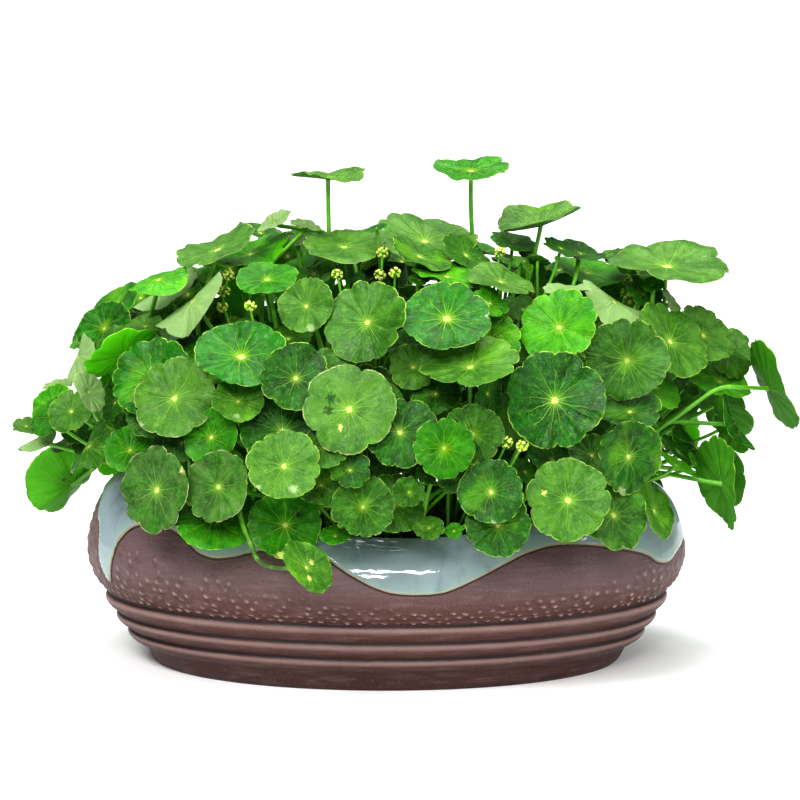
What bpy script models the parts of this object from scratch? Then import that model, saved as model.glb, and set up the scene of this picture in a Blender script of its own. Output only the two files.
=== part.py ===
"""Potted water pennywort: an oval glazed stoneware bowl of soil, with creeping runners that carry
round leaves on long stalks, and a few flower stalks. Metres, +Z up, +X along the bowl's long axis.
The origin is the middle of the bowl's flat underside."""

import math
import random

import bmesh
import bpy
from mathutils import Matrix, Vector
from mathutils.bvhtree import BVHTree
from mathutils.kdtree import KDTree

# Driving dimensions of the bowl
DEPTH_TO_WIDTH = 0.645
RIM_FRONT = 0.0785
RIM_END_LIFT = 0.0205
LIFT_START = 0.030
SIDE_LEAN = 0.0025
BOWL_STEPS = 28
MERGE_DISTANCE = 0.0001
WELD_DISTANCE = 0.00001

# Half width and height of the bowl's section, from the middle of the floor, up inside, over the lip,
# and down outside past three half-round bands to the foot
BOWL_SECTION = [
    (0.0, 0.010),
    (0.110, 0.010),
    (0.131, 0.022),
    (0.146, 0.040),
    (0.1515, 0.054),
    (0.146, 0.066),
    (0.1285, 0.0755),
    (0.1300, 0.0785),
    (0.1355, 0.0785),
    (0.1470, 0.0735),
    (0.1550, 0.0650),
    (0.1600, 0.0530),
    (0.1570, 0.0440),
    (0.1490, 0.0370),
    (0.1505, 0.0330),
    (0.1435, 0.0275),
    (0.1445, 0.0235),
    (0.1375, 0.0185),
    (0.1385, 0.0145),
    (0.1300, 0.0095),
    (0.1250, 0.0),
    (0.0, 0.0),
]
INNER_POINTS = 7
BELLY_RADIUS = max(radius for radius, height in BOWL_SECTION)

# Soil
SOIL_LEVEL = 0.0650
SOIL_CROWN = 0.0040
SOIL_CROWN_REACH = 1.6
SOIL_GAP = 0.0008
TOUCH_GAP = 0.0004

# The soil's section: share of the way out to the bowl's wall, and the height, which is None where it
# follows the crowned top
SOIL_SECTION = [
    (0.0, BOWL_SECTION[0][1] + TOUCH_GAP),
    (1.0, BOWL_SECTION[0][1] + TOUCH_GAP),
    (1.0, 0.022),
    (1.0, 0.041),
    (1.0, 0.054),
    (1.0, SOIL_LEVEL),
    (0.72, None),
    (0.36, None),
    (0.0, None),
]
SECTION_ROW_STEP = 0.01

# Runners: rings of places on the soil where a leaf or flower stalk can rise
RING_HALF_WIDTH = 0.124
RING_HALF_DEPTH = 0.074
RING_STEP = 0.013
RING_COUNT = 6
PLACE_SPACING = 0.0135
RUNNER_RADIUS = 0.0017
RUNNER_GAP = 0.0006
RUNNER_TAIL = 0.0040
MOST_RUNNERS = 49
MOST_ON_RUNNER = 4

# Leaves
BLADE_SIDES = 8
BLADE_THICKNESS = 0.0022
BLADE_DISH = 0.10
LEAST_WAVE = 0.02
MOST_WAVE = 0.08
SECOND_WAVE = 0.8
SECOND_WAVE_SHIFT = 1.0
RIM_RIPPLE = 0.03
BLADE_CLEARANCE = 0.0009
SEARCH_MARGIN = 0.004
SIGHT_STEP = 0.0015
BACK_THEN_FORWARD = list(range(56)) + list(range(-1, -16, -1))
FORWARD_THEN_BACK = [step for pair in zip(range(0, -24, -1), range(1, 25)) for step in pair]
SEED = 11
UPWARD = Vector((0, 0, 1))
MOST_DOWNWARD = -0.5

# Stalks, which bend from a root place up to a blade or a flower. Shares are of the way between them
STEM_SIDES = 3
STALK_RADIUS = 0.0014
STALK_CLEARANCE = 0.0005
STALK_SAMPLE = 0.0012
RUN_TURN = 1.3
MOST_TURN = 1.15
MOST_EXTRA_RUNS = 6
STALK_TRIES = 900
FOOT_SHARE_ALONG = 0.62
FOOT_SHARE_ACROSS = 0.60
NEAREST_PLACES = 4
FARTHER_PLACES = 30
FREE_NEAR_ROOT = 0.004
FREE_NEAR_BLADE = 0.006
LEAST_RISE = 0.30
MOST_RISE = 0.60
LEAST_EASE = 0.12
MOST_EASE = 0.45
SHAKE_SHARE = 0.35
RIM_MARGIN = 0.030
RISE_OVER_RIM = 1.6
EASE_OVER_RIM = 2.2

# The rounded mass of leaves
DOME_CENTRE = Vector((0.006, 0.0, 0.085))
DOME_RADII = Vector((0.192, 0.122, 0.140))
OVERHANG_HEIGHT = 0.012
OVERHANG_GAP = 0.014
DOME_SPOTS = 76
FILL_HIGHEST = 0.97
FILL_SPAN = 1.12
LEAST_FILL_RADIUS = 0.018
MOST_FILL_RADIUS = 0.026
FILL_TILT = 0.45
FILL_RISE = 0.25
FILL_DEPTH_CHANGE = 0.006
FILL_STEPS = 10
FILL_LOW_LIMIT = 0.30
FILL_TOP_LIMIT = -0.25

# Where the leaves are seen from: an eye in front of the bowl and a little above it, whose view is
# 800 units square
EYE = Vector((0.0073, -1.300, 0.300))
LOOK_AT = Vector((0.0073, 0.0, 0.139))
VIEW_HALF = 400
VIEW_FOCAL = 2454

# Leaves that the eye sees, front ones first: across and down the view, real radius, roundness (1 is
# face on, negative shows the underside) and the way the face leans, in degrees clockwise from up
SEEN_LEAVES = [
    (349, 409, 0.0235, 0.96, 0),
    (568, 500, 0.0215, 0.97, 0),
    (174, 398, 0.0225, 0.86, -45),
    (156, 490, 0.0225, 0.74, -90),
    (470, 366, 0.0255, 0.48, -8),
    (559, 327, 0.0210, 0.86, -35),
    (306, 306, 0.0150, 0.88, -45),
    (284, 466, 0.0185, 0.93, 0),
    (444, 448, 0.0155, 0.99, 0),
    (307, 567, 0.0150, 0.62, 50),
    (491, 492, 0.0165, 0.98, 0),
    (429, 528, 0.0080, 0.75, 0),
    (363, 507, 0.0160, 0.97, 0),
    (241, 356, 0.0235, 0.70, 0),
    (344, 246, 0.0220, 0.42, 0),
    (667, 265, 0.0340, 0.30, 5),
    (540, 223, 0.0230, 0.25, -12),
    (471, 170, 0.0205, 0.30, 0),
    (328, 177, 0.0205, 0.12, 0),
    (217, 249, 0.0225, 0.30, -22),
    (425, 240, 0.0280, 0.42, 8),
    (671, 341, 0.0230, 0.62, 50),
    (704, 335, 0.0180, 0.65, 45),
    (627, 360, 0.0220, 0.96, 0),
    (629, 457, 0.0190, 0.80, 105),
    (614, 515, 0.0190, 0.85, 60),
    (655, 511, 0.0155, 0.45, 69),
    (121, 355, 0.0215, -0.38, -32),
    (152, 378, 0.0220, 0.85, -45),
    (71, 411, 0.0130, 0.80, -45),
    (89, 392, 0.0115, 0.60, 60),
    (88, 446, 0.0170, 0.45, -40),
    (53, 408, 0.0140, 0.70, -60),
    (26, 426, 0.0080, 0.60, 0),
    (37, 438, 0.0120, 0.20, -30),
    (77, 357, 0.0135, 0.30, -70),
    (58, 385, 0.0085, 0.30, -10),
    (104, 328, 0.0165, 0.70, -40),
    (105, 318, 0.0255, 0.30, -45),
    (145, 326, 0.0110, 0.45, -10),
    (192, 300, 0.0225, 0.25, -45),
    (163, 288, 0.0200, 0.28, -35),
    (158, 279, 0.0170, 0.35, -15),
    (198, 277, 0.0095, 0.50, -20),
    (250, 253, 0.0225, 0.30, -18),
    (274, 222, 0.0110, 0.30, -30),
    (297, 240, 0.0080, 0.40, 0),
    (306, 226, 0.0090, 0.25, 15),
    (376, 245, 0.0165, 0.15, -45),
    (420, 256, 0.0170, 0.35, 25),
    (267, 279, 0.0165, 0.52, -5),
    (447, 276, 0.0185, 0.28, 12),
    (501, 281, 0.0175, 0.36, 15),
    (524, 261, 0.0070, 0.30, 40),
    (367, 322, 0.0225, 0.85, -45),
    (447, 318, 0.0230, 0.75, 0),
    (488, 340, 0.0175, 0.85, 0),
    (490, 303, 0.0100, 0.70, 30),
    (555, 400, 0.0255, 0.98, 0),
    (473, 434, 0.0155, 0.98, 30),
    (498, 526, 0.0165, 0.97, 0),
    (394, 504, 0.0160, 0.90, 40),
    (409, 492, 0.0085, 0.90, 0),
    (454, 531, 0.0045, 0.90, 0),
    (335, 536, 0.0080, 0.60, 0),
    (285, 525, 0.0185, 0.95, 0),
    (214, 518, 0.0230, 0.75, 0),
    (218, 487, 0.0185, 0.85, -70),
    (211, 437, 0.0150, 0.90, -60),
    (238, 401, 0.0135, 0.80, 0),
    (282, 431, 0.0220, 0.90, 0),
    (296, 378, 0.0180, 0.95, 0),
    (326, 370, 0.0130, 0.85, 0),
    (413, 367, 0.0125, 0.95, 0),
    (400, 432, 0.0190, 0.95, 0),
    (321, 485, 0.0120, 0.90, 0),
    (325, 448, 0.0120, 0.90, 0),
    (350, 470, 0.0105, 0.90, 0),
    (488, 394, 0.0095, 0.70, 90),
    (630, 411, 0.0165, 0.60, 0),
    (592, 455, 0.0120, 0.90, 0),
    (729, 351, 0.0165, 0.65, 65),
    (720, 381, 0.0180, 0.50, 22),
    (615, 301, 0.0210, 0.30, 33),
    (567, 290, 0.0125, 0.20, 0),
    (588, 272, 0.0200, 0.33, 15),
    (580, 253, 0.0150, 0.28, 15),
    (653, 285, 0.0065, 0.60, 0),
    (644, 294, 0.0115, 0.60, 30),
    (671, 303, 0.0085, 0.30, 60),
    (771, 387, 0.0265, -0.25, 65),
    (736, 423, 0.0175, -0.25, 65),
    (724, 483, 0.0255, -0.38, 78),
    (698, 447, 0.0195, 0.20, 50),
    (130, 450, 0.0135, 0.90, 0),
]

# Flower stalks as that eye sees them: the whorls of each, top one first
SEEN_FLOWERS = [
    [(229, 275), (224, 291), (222, 307)],
    [(250, 306)],
    [(337, 274), (343, 299)],
    [(383, 253), (380, 275)],
    [(395, 273)],
    [(500, 252)],
    [(627, 281), (626, 293)],
    [(507, 442)],
    [(522, 446)],
]
WHORL_RADIUS = 0.0038
WHORL_CLEARANCE = 0.0010
FLOWER_STALK_RADIUS = 0.0010
FLOWER_STEPS = 60

# Plain colour and roughness of each material
GLAZED_CLAY = (0.16, 0.10, 0.09), 0.45
WET_SOIL = (0.035, 0.024, 0.017), 0.85
LEAF_GREEN = (0.10, 0.27, 0.03), 0.35
FLOWER_GREEN = (0.42, 0.55, 0.16), 0.50


def clear_scene():
    for obj in list(bpy.data.objects):
        bpy.data.objects.remove(obj, do_unlink=True)


def new_collection(name):
    collection = bpy.data.collections.new(name)
    bpy.context.scene.collection.children.link(collection)
    return collection


def principled(name, colour, roughness):
    material = bpy.data.materials.new(name)
    material.use_nodes = True
    shader = material.node_tree.nodes["Principled BSDF"]
    shader.inputs["Base Color"].default_value = (*colour, 1.0)
    shader.inputs["Roughness"].default_value = roughness
    shader.inputs["Metallic"].default_value = 0.0
    return material


def place_object(name, mesh, collection, material):
    obj = bpy.data.objects.new(name, mesh)
    collection.objects.link(obj)
    mesh.materials.clear()
    mesh.materials.append(material)
    return obj


def evaluated_copy(obj, name):
    """The object's shape with its modifiers or bevel applied, as a welded mesh, in world space."""
    bpy.context.view_layer.update()
    graph = bpy.context.evaluated_depsgraph_get()
    mesh = bpy.data.meshes.new_from_object(obj.evaluated_get(graph))
    mesh.name = name
    mesh.transform(obj.matrix_world)
    shape = bmesh.new()
    shape.from_mesh(mesh)
    bmesh.ops.remove_doubles(shape, verts=shape.verts, dist=WELD_DISTANCE)
    bmesh.ops.recalc_face_normals(shape, faces=shape.faces)
    shape.to_mesh(mesh)
    shape.free()
    bpy.data.objects.remove(obj, do_unlink=True)
    return mesh


def turned_mesh(name, section):
    """A section of (radius, height) points turned about Z."""
    profile = bpy.data.meshes.new(name + "_section")
    points = [(radius, 0.0, height) for radius, height in section]
    edges = [(index, index + 1) for index in range(len(points) - 1)]
    profile.from_pydata(points, edges, [])
    obj = bpy.data.objects.new(name + "_section", profile)
    bpy.context.scene.collection.objects.link(obj)
    screw = obj.modifiers.new("Turn", "SCREW")
    screw.axis = "Z"
    screw.angle = 2 * math.pi
    screw.steps = BOWL_STEPS
    screw.render_steps = BOWL_STEPS
    screw.use_merge_vertices = True
    screw.merge_threshold = MERGE_DISTANCE
    return evaluated_copy(obj, name)


def smooth_step(value):
    value = min(max(value, 0.0), 1.0)
    return value * value * (3 - 2 * value)


def shaped(point):
    """Turns a point of the round bowl into its place on the real one, which is oval, with its rim
    raised at both ends and leaning a little to one side."""
    radius = math.hypot(point.x, point.y)
    along = point.x / radius if radius > 0 else 0.0
    rise = smooth_step((point.z - LIFT_START) / (RIM_FRONT - LIFT_START))
    height = point.z + rise * (RIM_END_LIFT * along * along - SIDE_LEAN * along)
    return Vector((point.x, point.y * DEPTH_TO_WIDTH, height))


def bowl_mesh():
    mesh = turned_mesh("pot", BOWL_SECTION)
    for vertex in mesh.vertices:
        vertex.co = shaped(vertex.co)
    return mesh


def inner_radius(angle, height):
    """Radius, before the oval squeeze, of the bowl's inside at a world height."""
    wall = []
    for radius, level in BOWL_SECTION[1:INNER_POINTS]:
        spot = shaped(Vector((radius * math.cos(angle), radius * math.sin(angle), level)))
        wall.append((spot.z, radius))
    for (low, near), (high, far) in zip(wall, wall[1:]):
        if height <= high:
            share = (height - low) / (high - low)
            return near + (far - near) * max(share, 0.0)
    return wall[-1][1]


def soil_top(x, y):
    spread = (x / RING_HALF_WIDTH) ** 2 + (y / RING_HALF_DEPTH) ** 2
    return SOIL_LEVEL + SOIL_CROWN * (1 - min(spread / SOIL_CROWN_REACH, 1))


def soil_mesh():
    """Soil that fills the bowl to a gently crowned top."""
    rows = [(share, row * SECTION_ROW_STEP) for row, (share, height) in enumerate(SOIL_SECTION)]
    mesh = turned_mesh("soil", rows[::-1])
    for vertex in mesh.vertices:
        share, height = SOIL_SECTION[round(vertex.co.z / SECTION_ROW_STEP)]
        angle = math.atan2(vertex.co.y, vertex.co.x)
        reach = share * (inner_radius(angle, height or SOIL_LEVEL) - SOIL_GAP)
        x = reach * math.cos(angle)
        y = reach * math.sin(angle) * DEPTH_TO_WIDTH
        vertex.co = (x, y, soil_top(x, y) if height is None else height)
    return mesh


def root_places():
    """Places along the soil, each with its ring, its number on the ring and its point."""
    places = []
    for ring in range(RING_COUNT):
        wide = RING_HALF_WIDTH - RING_STEP * ring
        deep = RING_HALF_DEPTH - RING_STEP * ring
        around = 2 * math.pi * math.sqrt((wide * wide + deep * deep) / 2)
        count = round(around / PLACE_SPACING)
        for index in range(count):
            angle = 2 * math.pi * (index + 0.5 * (ring % 2)) / count
            x = wide * math.cos(angle)
            y = deep * math.sin(angle)
            height = soil_top(x, y) + RUNNER_RADIUS + RUNNER_GAP
            places.append((ring, index, Vector((x, y, height))))
    return places


def view_axes():
    forward = (LOOK_AT - EYE).normalized()
    right = forward.cross(UPWARD).normalized()
    return right, right.cross(forward), forward


def sight_line(across, down):
    """Direction from the eye through a spot of the view, with length 1 along the view's axis."""
    right, up, forward = view_axes()
    return forward + right * (across - VIEW_HALF) / VIEW_FOCAL + up * (VIEW_HALF - down) / VIEW_FOCAL


def start_distance(line):
    """How far along a sight line the leaf mass begins, kept in front of the bowl's belly."""
    scaled_line = Vector(line[axis] / DOME_RADII[axis] for axis in range(3))
    scaled_eye = Vector((EYE[axis] - DOME_CENTRE[axis]) / DOME_RADII[axis] for axis in range(3))
    square = scaled_line.dot(scaled_line)
    half = scaled_line.dot(scaled_eye)
    inside = half * half - square * (scaled_eye.dot(scaled_eye) - 1)
    distance = (-half - math.sqrt(max(inside, 0.0))) / square
    spot = EYE + line * distance
    if spot.z < RIM_FRONT + OVERHANG_HEIGHT:
        belly = DEPTH_TO_WIDTH * math.sqrt(max(BELLY_RADIUS**2 - spot.x**2, 0.0))
        distance = min(distance, (-belly - OVERHANG_GAP - EYE.y) / line.y)
    return distance


class Leaf:
    """A leaf: the middle of its blade's top, the way it faces, and the turn of its wavy rim. Its
    stalk's points run from its root place to just under the blade."""

    def __init__(self, centre, normal, radius, turn, wave):
        self.centre = centre
        self.normal = normal.normalized()
        self.radius = radius
        self.turn = turn
        self.wave = wave
        self.stalk = None
        self.place = None

    def matrix(self):
        tilt = self.normal.to_track_quat("Z", "Y").to_matrix().to_4x4()
        return Matrix.Translation(self.centre) @ tilt @ Matrix.Rotation(self.turn, 4, "Z")


class Flower:
    """A flower stalk: the middles of its whorls, top one first, and its own points from the root."""

    def __init__(self, whorls):
        self.whorls = whorls
        self.stalk = None
        self.place = None


def blade_shape(leaf, swell=0.0):
    """A blade with a dished top, a wavy rim and, below its middle, a collar for the stalk."""
    shape = bmesh.new()
    radius = leaf.radius + swell
    rim = bmesh.ops.create_circle(
        shape, cap_ends=True, cap_tris=True, segments=BLADE_SIDES, radius=radius
    )["verts"]
    for vertex in rim:
        if vertex.co.length < radius / 2:
            vertex.co.z = swell
            continue
        angle = math.atan2(vertex.co.y, vertex.co.x)
        wave = math.sin(2 * angle) + SECOND_WAVE * math.sin(3 * angle + SECOND_WAVE_SHIFT)
        vertex.co.z = (BLADE_DISH + leaf.wave * wave) * leaf.radius
        vertex.co.xy *= 1 + RIM_RIPPLE * math.sin(3 * angle + leaf.turn)
    edges = [edge for edge in shape.edges if edge.is_boundary]
    collar = bmesh.ops.create_circle(shape, segments=STEM_SIDES, radius=STALK_RADIUS + swell)["verts"]
    collar_edges = list({edge for vertex in collar for edge in vertex.link_edges})
    bmesh.ops.translate(shape, verts=collar, vec=(0, 0, -BLADE_THICKNESS - swell))
    bmesh.ops.bridge_loops(shape, edges=edges + collar_edges)
    bmesh.ops.transform(shape, matrix=leaf.matrix(), verts=shape.verts)
    return shape, collar_edges


def sweep(shape, edges, facing, points):
    """Draws a ring of edges out from one point to the next, turning it to follow the way."""
    for start, end in zip(points, points[1:]):
        made = bmesh.ops.extrude_edge_only(shape, edges=edges)["geom"]
        edges = [item for item in made if isinstance(item, bmesh.types.BMEdge)]
        edges = [edge for edge in edges if edge.is_boundary]
        ring = list({vertex for edge in edges for vertex in edge.verts})
        onward = (end - start).normalized()
        turn = facing.rotation_difference(onward).to_matrix()
        bmesh.ops.rotate(shape, cent=start, matrix=turn, verts=ring)
        bmesh.ops.translate(shape, verts=ring, vec=end - start)
        facing = onward
    return edges


def closed_mesh(shape, name):
    """The shape as a mesh, its open ends filled and its faces pointing out."""
    bmesh.ops.holes_fill(shape, edges=[edge for edge in shape.edges if edge.is_boundary])
    bmesh.ops.recalc_face_normals(shape, faces=shape.faces)
    mesh = bpy.data.meshes.new(name)
    shape.to_mesh(mesh)
    shape.free()
    return mesh


def leaf_mesh(leaf):
    shape, collar_edges = blade_shape(leaf)
    sweep(shape, collar_edges, -leaf.normal, leaf.stalk[::-1])
    return closed_mesh(shape, "leaf")


def stem_mesh(name, points, radius):
    """A three-sided stem along straight runs between points."""
    shape = bmesh.new()
    onward = (points[1] - points[0]).normalized()
    place = Matrix.Translation(points[0]) @ onward.to_track_quat("Z", "Y").to_matrix().to_4x4()
    bmesh.ops.create_circle(shape, segments=STEM_SIDES, radius=radius, matrix=place)
    sweep(shape, list(shape.edges), onward, points)
    return closed_mesh(shape, name)


class Thicket:
    """All that has grown so far, and whether something new fits between it."""

    def __init__(self, pot_tree):
        self.pot = pot_tree
        self.leaves = []
        self.blade_trees = []
        self.corners = []
        self.faces = []
        self.face_owner = []
        self.blades = None
        self.flowers = []
        self.whorls = []
        self.spots = []
        self.stalks = None
        self.taken = set()
        self.places = root_places()

    def add_blade(self, leaf):
        shape = blade_shape(leaf)[0]
        base = len(self.corners)
        self.corners += [vertex.co.copy() for vertex in shape.verts]
        for face in shape.faces:
            self.faces.append([base + vertex.index for vertex in face.verts])
            self.face_owner.append(leaf)
        self.leaves.append(leaf)
        self.blade_trees.append(BVHTree.FromBMesh(shape))
        self.blades = BVHTree.FromPolygons(self.corners, self.faces)
        shape.free()

    def add_flower(self, flower):
        self.flowers.append(flower)
        self.whorls += flower.whorls

    def remove_blade(self, leaf):
        index = self.leaves.index(leaf)
        del self.leaves[index]
        del self.blade_trees[index]
        kept = [face for face, owner in zip(self.faces, self.face_owner) if owner is not leaf]
        self.face_owner = [owner for owner in self.face_owner if owner is not leaf]
        self.faces = kept
        self.blades = BVHTree.FromPolygons(self.corners, self.faces)

    def add_stalk(self, grown, place, points):
        grown.stalk = points
        grown.place = place
        self.taken.add(place[:2])
        self.spots += [spot for spot, left in spaced_points(points, STALK_SAMPLE)]
        self.stalks = KDTree(len(self.spots))
        for index, spot in enumerate(self.spots):
            self.stalks.insert(spot, index)
        self.stalks.balance()

    def blade_fits(self, leaf):
        shape = blade_shape(leaf, BLADE_CLEARANCE)[0]
        tree = BVHTree.FromBMesh(shape)
        shape.free()
        if tree.overlap(self.pot):
            return False
        for other, other_tree in zip(self.leaves, self.blade_trees):
            if (leaf.centre - other.centre).length < leaf.radius + other.radius + SEARCH_MARGIN:
                if tree.overlap(other_tree):
                    return False
        reach = STALK_RADIUS + STALK_CLEARANCE
        for centre in self.whorls:
            if tree.find_nearest(centre, WHORL_RADIUS + WHORL_CLEARANCE)[0] is not None:
                return False
        if self.stalks is None:
            return True
        for spot, index, distance in self.stalks.find_range(leaf.centre, leaf.radius + SEARCH_MARGIN):
            if tree.find_nearest(spot, reach)[0] is not None:
                return False
        return True

    def stalk_fits(self, points, own, radius):
        """Whether a stalk of this radius can run along the points to its own blade."""
        root = points[0]
        reach = radius + STALK_CLEARANCE
        low = 2 * RUNNER_RADIUS + RUNNER_GAP + reach
        for spot, left in reversed(spaced_points(points, STALK_SAMPLE)):
            for hit in self.blades.find_nearest_range(spot, reach):
                if self.face_owner[hit[2]] is not own or left > FREE_NEAR_BLADE:
                    return False
            if self.pot.find_nearest(spot, reach)[0] is not None:
                return False
            aside = math.hypot(spot.x - root.x, spot.y - root.y)
            if aside > FREE_NEAR_ROOT and spot.z < soil_top(spot.x, spot.y) + low:
                return False
            if self.stalks and self.stalks.find(spot)[2] < radius + STALK_RADIUS + STALK_CLEARANCE:
                return False
            for flower in self.flowers:
                for centre in flower.whorls:
                    if flower is not own and (spot - centre).length < reach + WHORL_RADIUS:
                        return False
        return True

    def whorls_fit(self, centres):
        reach = WHORL_RADIUS + WHORL_CLEARANCE
        for centre in centres:
            if self.blades.find_nearest(centre, reach)[0] is not None:
                return False
            if any((centre - other).length < WHORL_RADIUS + reach for other in self.whorls):
                return False
        return True

    def nearest_places(self, centre):
        foot = Vector((centre.x * FOOT_SHARE_ALONG, centre.y * FOOT_SHARE_ACROSS))
        free = [place for place in self.places if place[:2] not in self.taken]
        return sorted(free, key=lambda place: (place[2].xy - foot).length_squared)


def random_way(rng):
    """A random direction, more often up than down."""
    return Vector((rng.uniform(-1, 1), rng.uniform(-1, 1), rng.uniform(MOST_DOWNWARD, 1)))


def add_seen_leaf(seen, steps, with_stalk, thicket, rng):
    """Slides a seen leaf along its sight line until it is clear of the others."""
    across, down, radius, roundness, lean = seen
    line = sight_line(across, down)
    right, up, forward = view_axes()
    toward = -line.normalized()
    side = (right - toward * right.dot(toward)).normalized()
    above = toward.cross(side)
    angle = math.radians(lean)
    spread = math.sqrt(1 - roundness * roundness)
    normal = toward * roundness + (side * math.sin(angle) + above * math.cos(angle)) * spread
    start = start_distance(line)
    turn = rng.uniform(0, 2 * math.pi)
    wave = rng.uniform(LEAST_WAVE, MOST_WAVE)
    for step in steps:
        distance = start + step * SIGHT_STEP
        leaf = Leaf(EYE + line * distance, normal, radius, turn, wave)
        if not thicket.blade_fits(leaf):
            continue
        thicket.add_blade(leaf)
        if not with_stalk or grow_leaf_stalk(leaf, thicket, rng):
            return leaf
        thicket.remove_blade(leaf)
    return None


def seen_flower(whorls, thicket):
    """Slides a seen flower stalk's whorls back along their sight lines until they are clear."""
    lines = [sight_line(across, down) for across, down in whorls]
    start = start_distance(lines[0])
    for step in range(FLOWER_STEPS):
        flower = Flower([EYE + line * (start + step * SIGHT_STEP) for line in lines])
        if thicket.whorls_fit(flower.whorls):
            if thicket.stalk_fits(flower.whorls, flower, FLOWER_STALK_RADIUS):
                return flower
    return None


def filling_leaf(direction, size, steps, thicket, rng):
    """Slides a leaf inwards from the leaf mass's surface until it is clear of the others."""
    outward = Vector(direction[axis] / DOME_RADII[axis] for axis in range(3)).normalized()
    normal = outward + FILL_TILT * random_way(rng) + FILL_RISE * UPWARD
    surface = DOME_CENTRE + Vector(direction[axis] * DOME_RADII[axis] for axis in range(3))
    turn = rng.uniform(0, 2 * math.pi)
    wave = rng.uniform(LEAST_WAVE, MOST_WAVE)
    start = rng.uniform(-FILL_DEPTH_CHANGE, FILL_DEPTH_CHANGE)
    for step in range(steps):
        centre = surface - outward * (start + step * SIGHT_STEP)
        leaf = Leaf(centre, normal, size, turn, wave)
        if thicket.blade_fits(leaf):
            return leaf
    return None


def bend(start, lift, ease, end, share):
    rest = 1 - share
    near = start * rest**3 + lift * (3 * share * rest * rest)
    return near + ease * (3 * share * share * rest) + end * share**3


def stalk_path(root, lift, ease, end):
    """Points along a smooth bend, more of them where the stalk turns more."""
    turning = (lift - root).angle(ease - lift) + (ease - lift).angle(end - ease)
    runs = 1 + min(round(turning / RUN_TURN), MOST_EXTRA_RUNS)
    return [bend(root, lift, ease, end, index / runs) for index in range(runs + 1)]


def spaced_points(points, spacing):
    """Evenly spaced spots along straight runs, each with the length left to the end."""
    spots = []
    left = sum((b - a).length for a, b in zip(points, points[1:]))
    for a, b in zip(points, points[1:]):
        length = (b - a).length
        count = max(int(length / spacing), 1)
        for index in range(count):
            spots.append((a.lerp(b, index / count), left - length * index / count))
        left -= length
    return spots


def sharpest_turn(points, facing):
    """The largest angle between one run and the next, or between the last run and the blade."""
    runs = [b - a for a, b in zip(points, points[1:])] + [facing]
    return max(run.angle(onward) for run, onward in zip(runs, runs[1:]))


def grow_stalk(grown, end, facing, radius, thicket, rng):
    """Looks for a root place and a bend that bring a stalk to its tip without touching anything."""
    order = thicket.nearest_places(end)
    below_rim = max(0.0, RIM_FRONT + RIM_MARGIN - end.z)
    for attempt in range(STALK_TRIES):
        wild = attempt / STALK_TRIES
        place = order[int(rng.random() ** 2 * (NEAREST_PLACES + FARTHER_PLACES * wild))]
        root = place[2]
        length = (end - root).length
        shaking = length * SHAKE_SHARE * wild
        rise = length * rng.uniform(LEAST_RISE, MOST_RISE) + RISE_OVER_RIM * below_rim * rng.random()
        lift = root + UPWARD * rise + random_way(rng) * shaking
        ease = end - facing * length * rng.uniform(LEAST_EASE, MOST_EASE)
        ease += UPWARD * EASE_OVER_RIM * below_rim * rng.random() + random_way(rng) * shaking
        points = stalk_path(root, lift, ease, end)
        if sharpest_turn(points, facing) < MOST_TURN and thicket.stalk_fits(points, grown, radius):
            thicket.add_stalk(grown, place, points)
            return True
    return False


def grow_leaf_stalk(leaf, thicket, rng):
    end = leaf.centre - leaf.normal * BLADE_THICKNESS
    return grow_stalk(leaf, end, leaf.normal, STALK_RADIUS, thicket, rng)


def grow_seen_plants(thicket, rng):
    """Blades first, front to back, then the stalks, then another try for leaves left without one."""
    seen_by_leaf = {}
    for seen in SEEN_LEAVES:
        leaf = add_seen_leaf(seen, BACK_THEN_FORWARD, False, thicket, rng)
        if leaf is not None:
            seen_by_leaf[leaf] = seen
    for whorls in SEEN_FLOWERS:
        flower = seen_flower(whorls, thicket)
        if flower is not None:
            thicket.add_flower(flower)
    for flower in thicket.flowers:
        grow_stalk(flower, flower.whorls[-1], UPWARD, FLOWER_STALK_RADIUS, thicket, rng)
    for leaf in thicket.leaves:
        grow_leaf_stalk(leaf, thicket, rng)
    for leaf in [leaf for leaf in thicket.leaves if leaf.stalk is None]:
        thicket.remove_blade(leaf)
        add_seen_leaf(seen_by_leaf[leaf], FORWARD_THEN_BACK, True, thicket, rng)


def fill_dome(thicket, rng):
    """Leaves on the top, sides and back, spread by the golden angle and kept off the seen face."""
    golden = math.pi * (3 - math.sqrt(5))
    for index in range(DOME_SPOTS):
        height = FILL_HIGHEST - FILL_SPAN * (index + 0.5) / DOME_SPOTS
        ring = math.sqrt(1 - height * height)
        angle = golden * index
        direction = Vector((ring * math.cos(angle), ring * math.sin(angle), height))
        size = rng.uniform(LEAST_FILL_RADIUS, MOST_FILL_RADIUS)
        if direction.y < FILL_LOW_LIMIT + (FILL_TOP_LIMIT - FILL_LOW_LIMIT) * max(height, 0):
            continue
        leaf = filling_leaf(direction, size, FILL_STEPS, thicket, rng)
        if leaf is None:
            continue
        thicket.add_blade(leaf)
        if not grow_leaf_stalk(leaf, thicket, rng):
            thicket.remove_blade(leaf)


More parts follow.
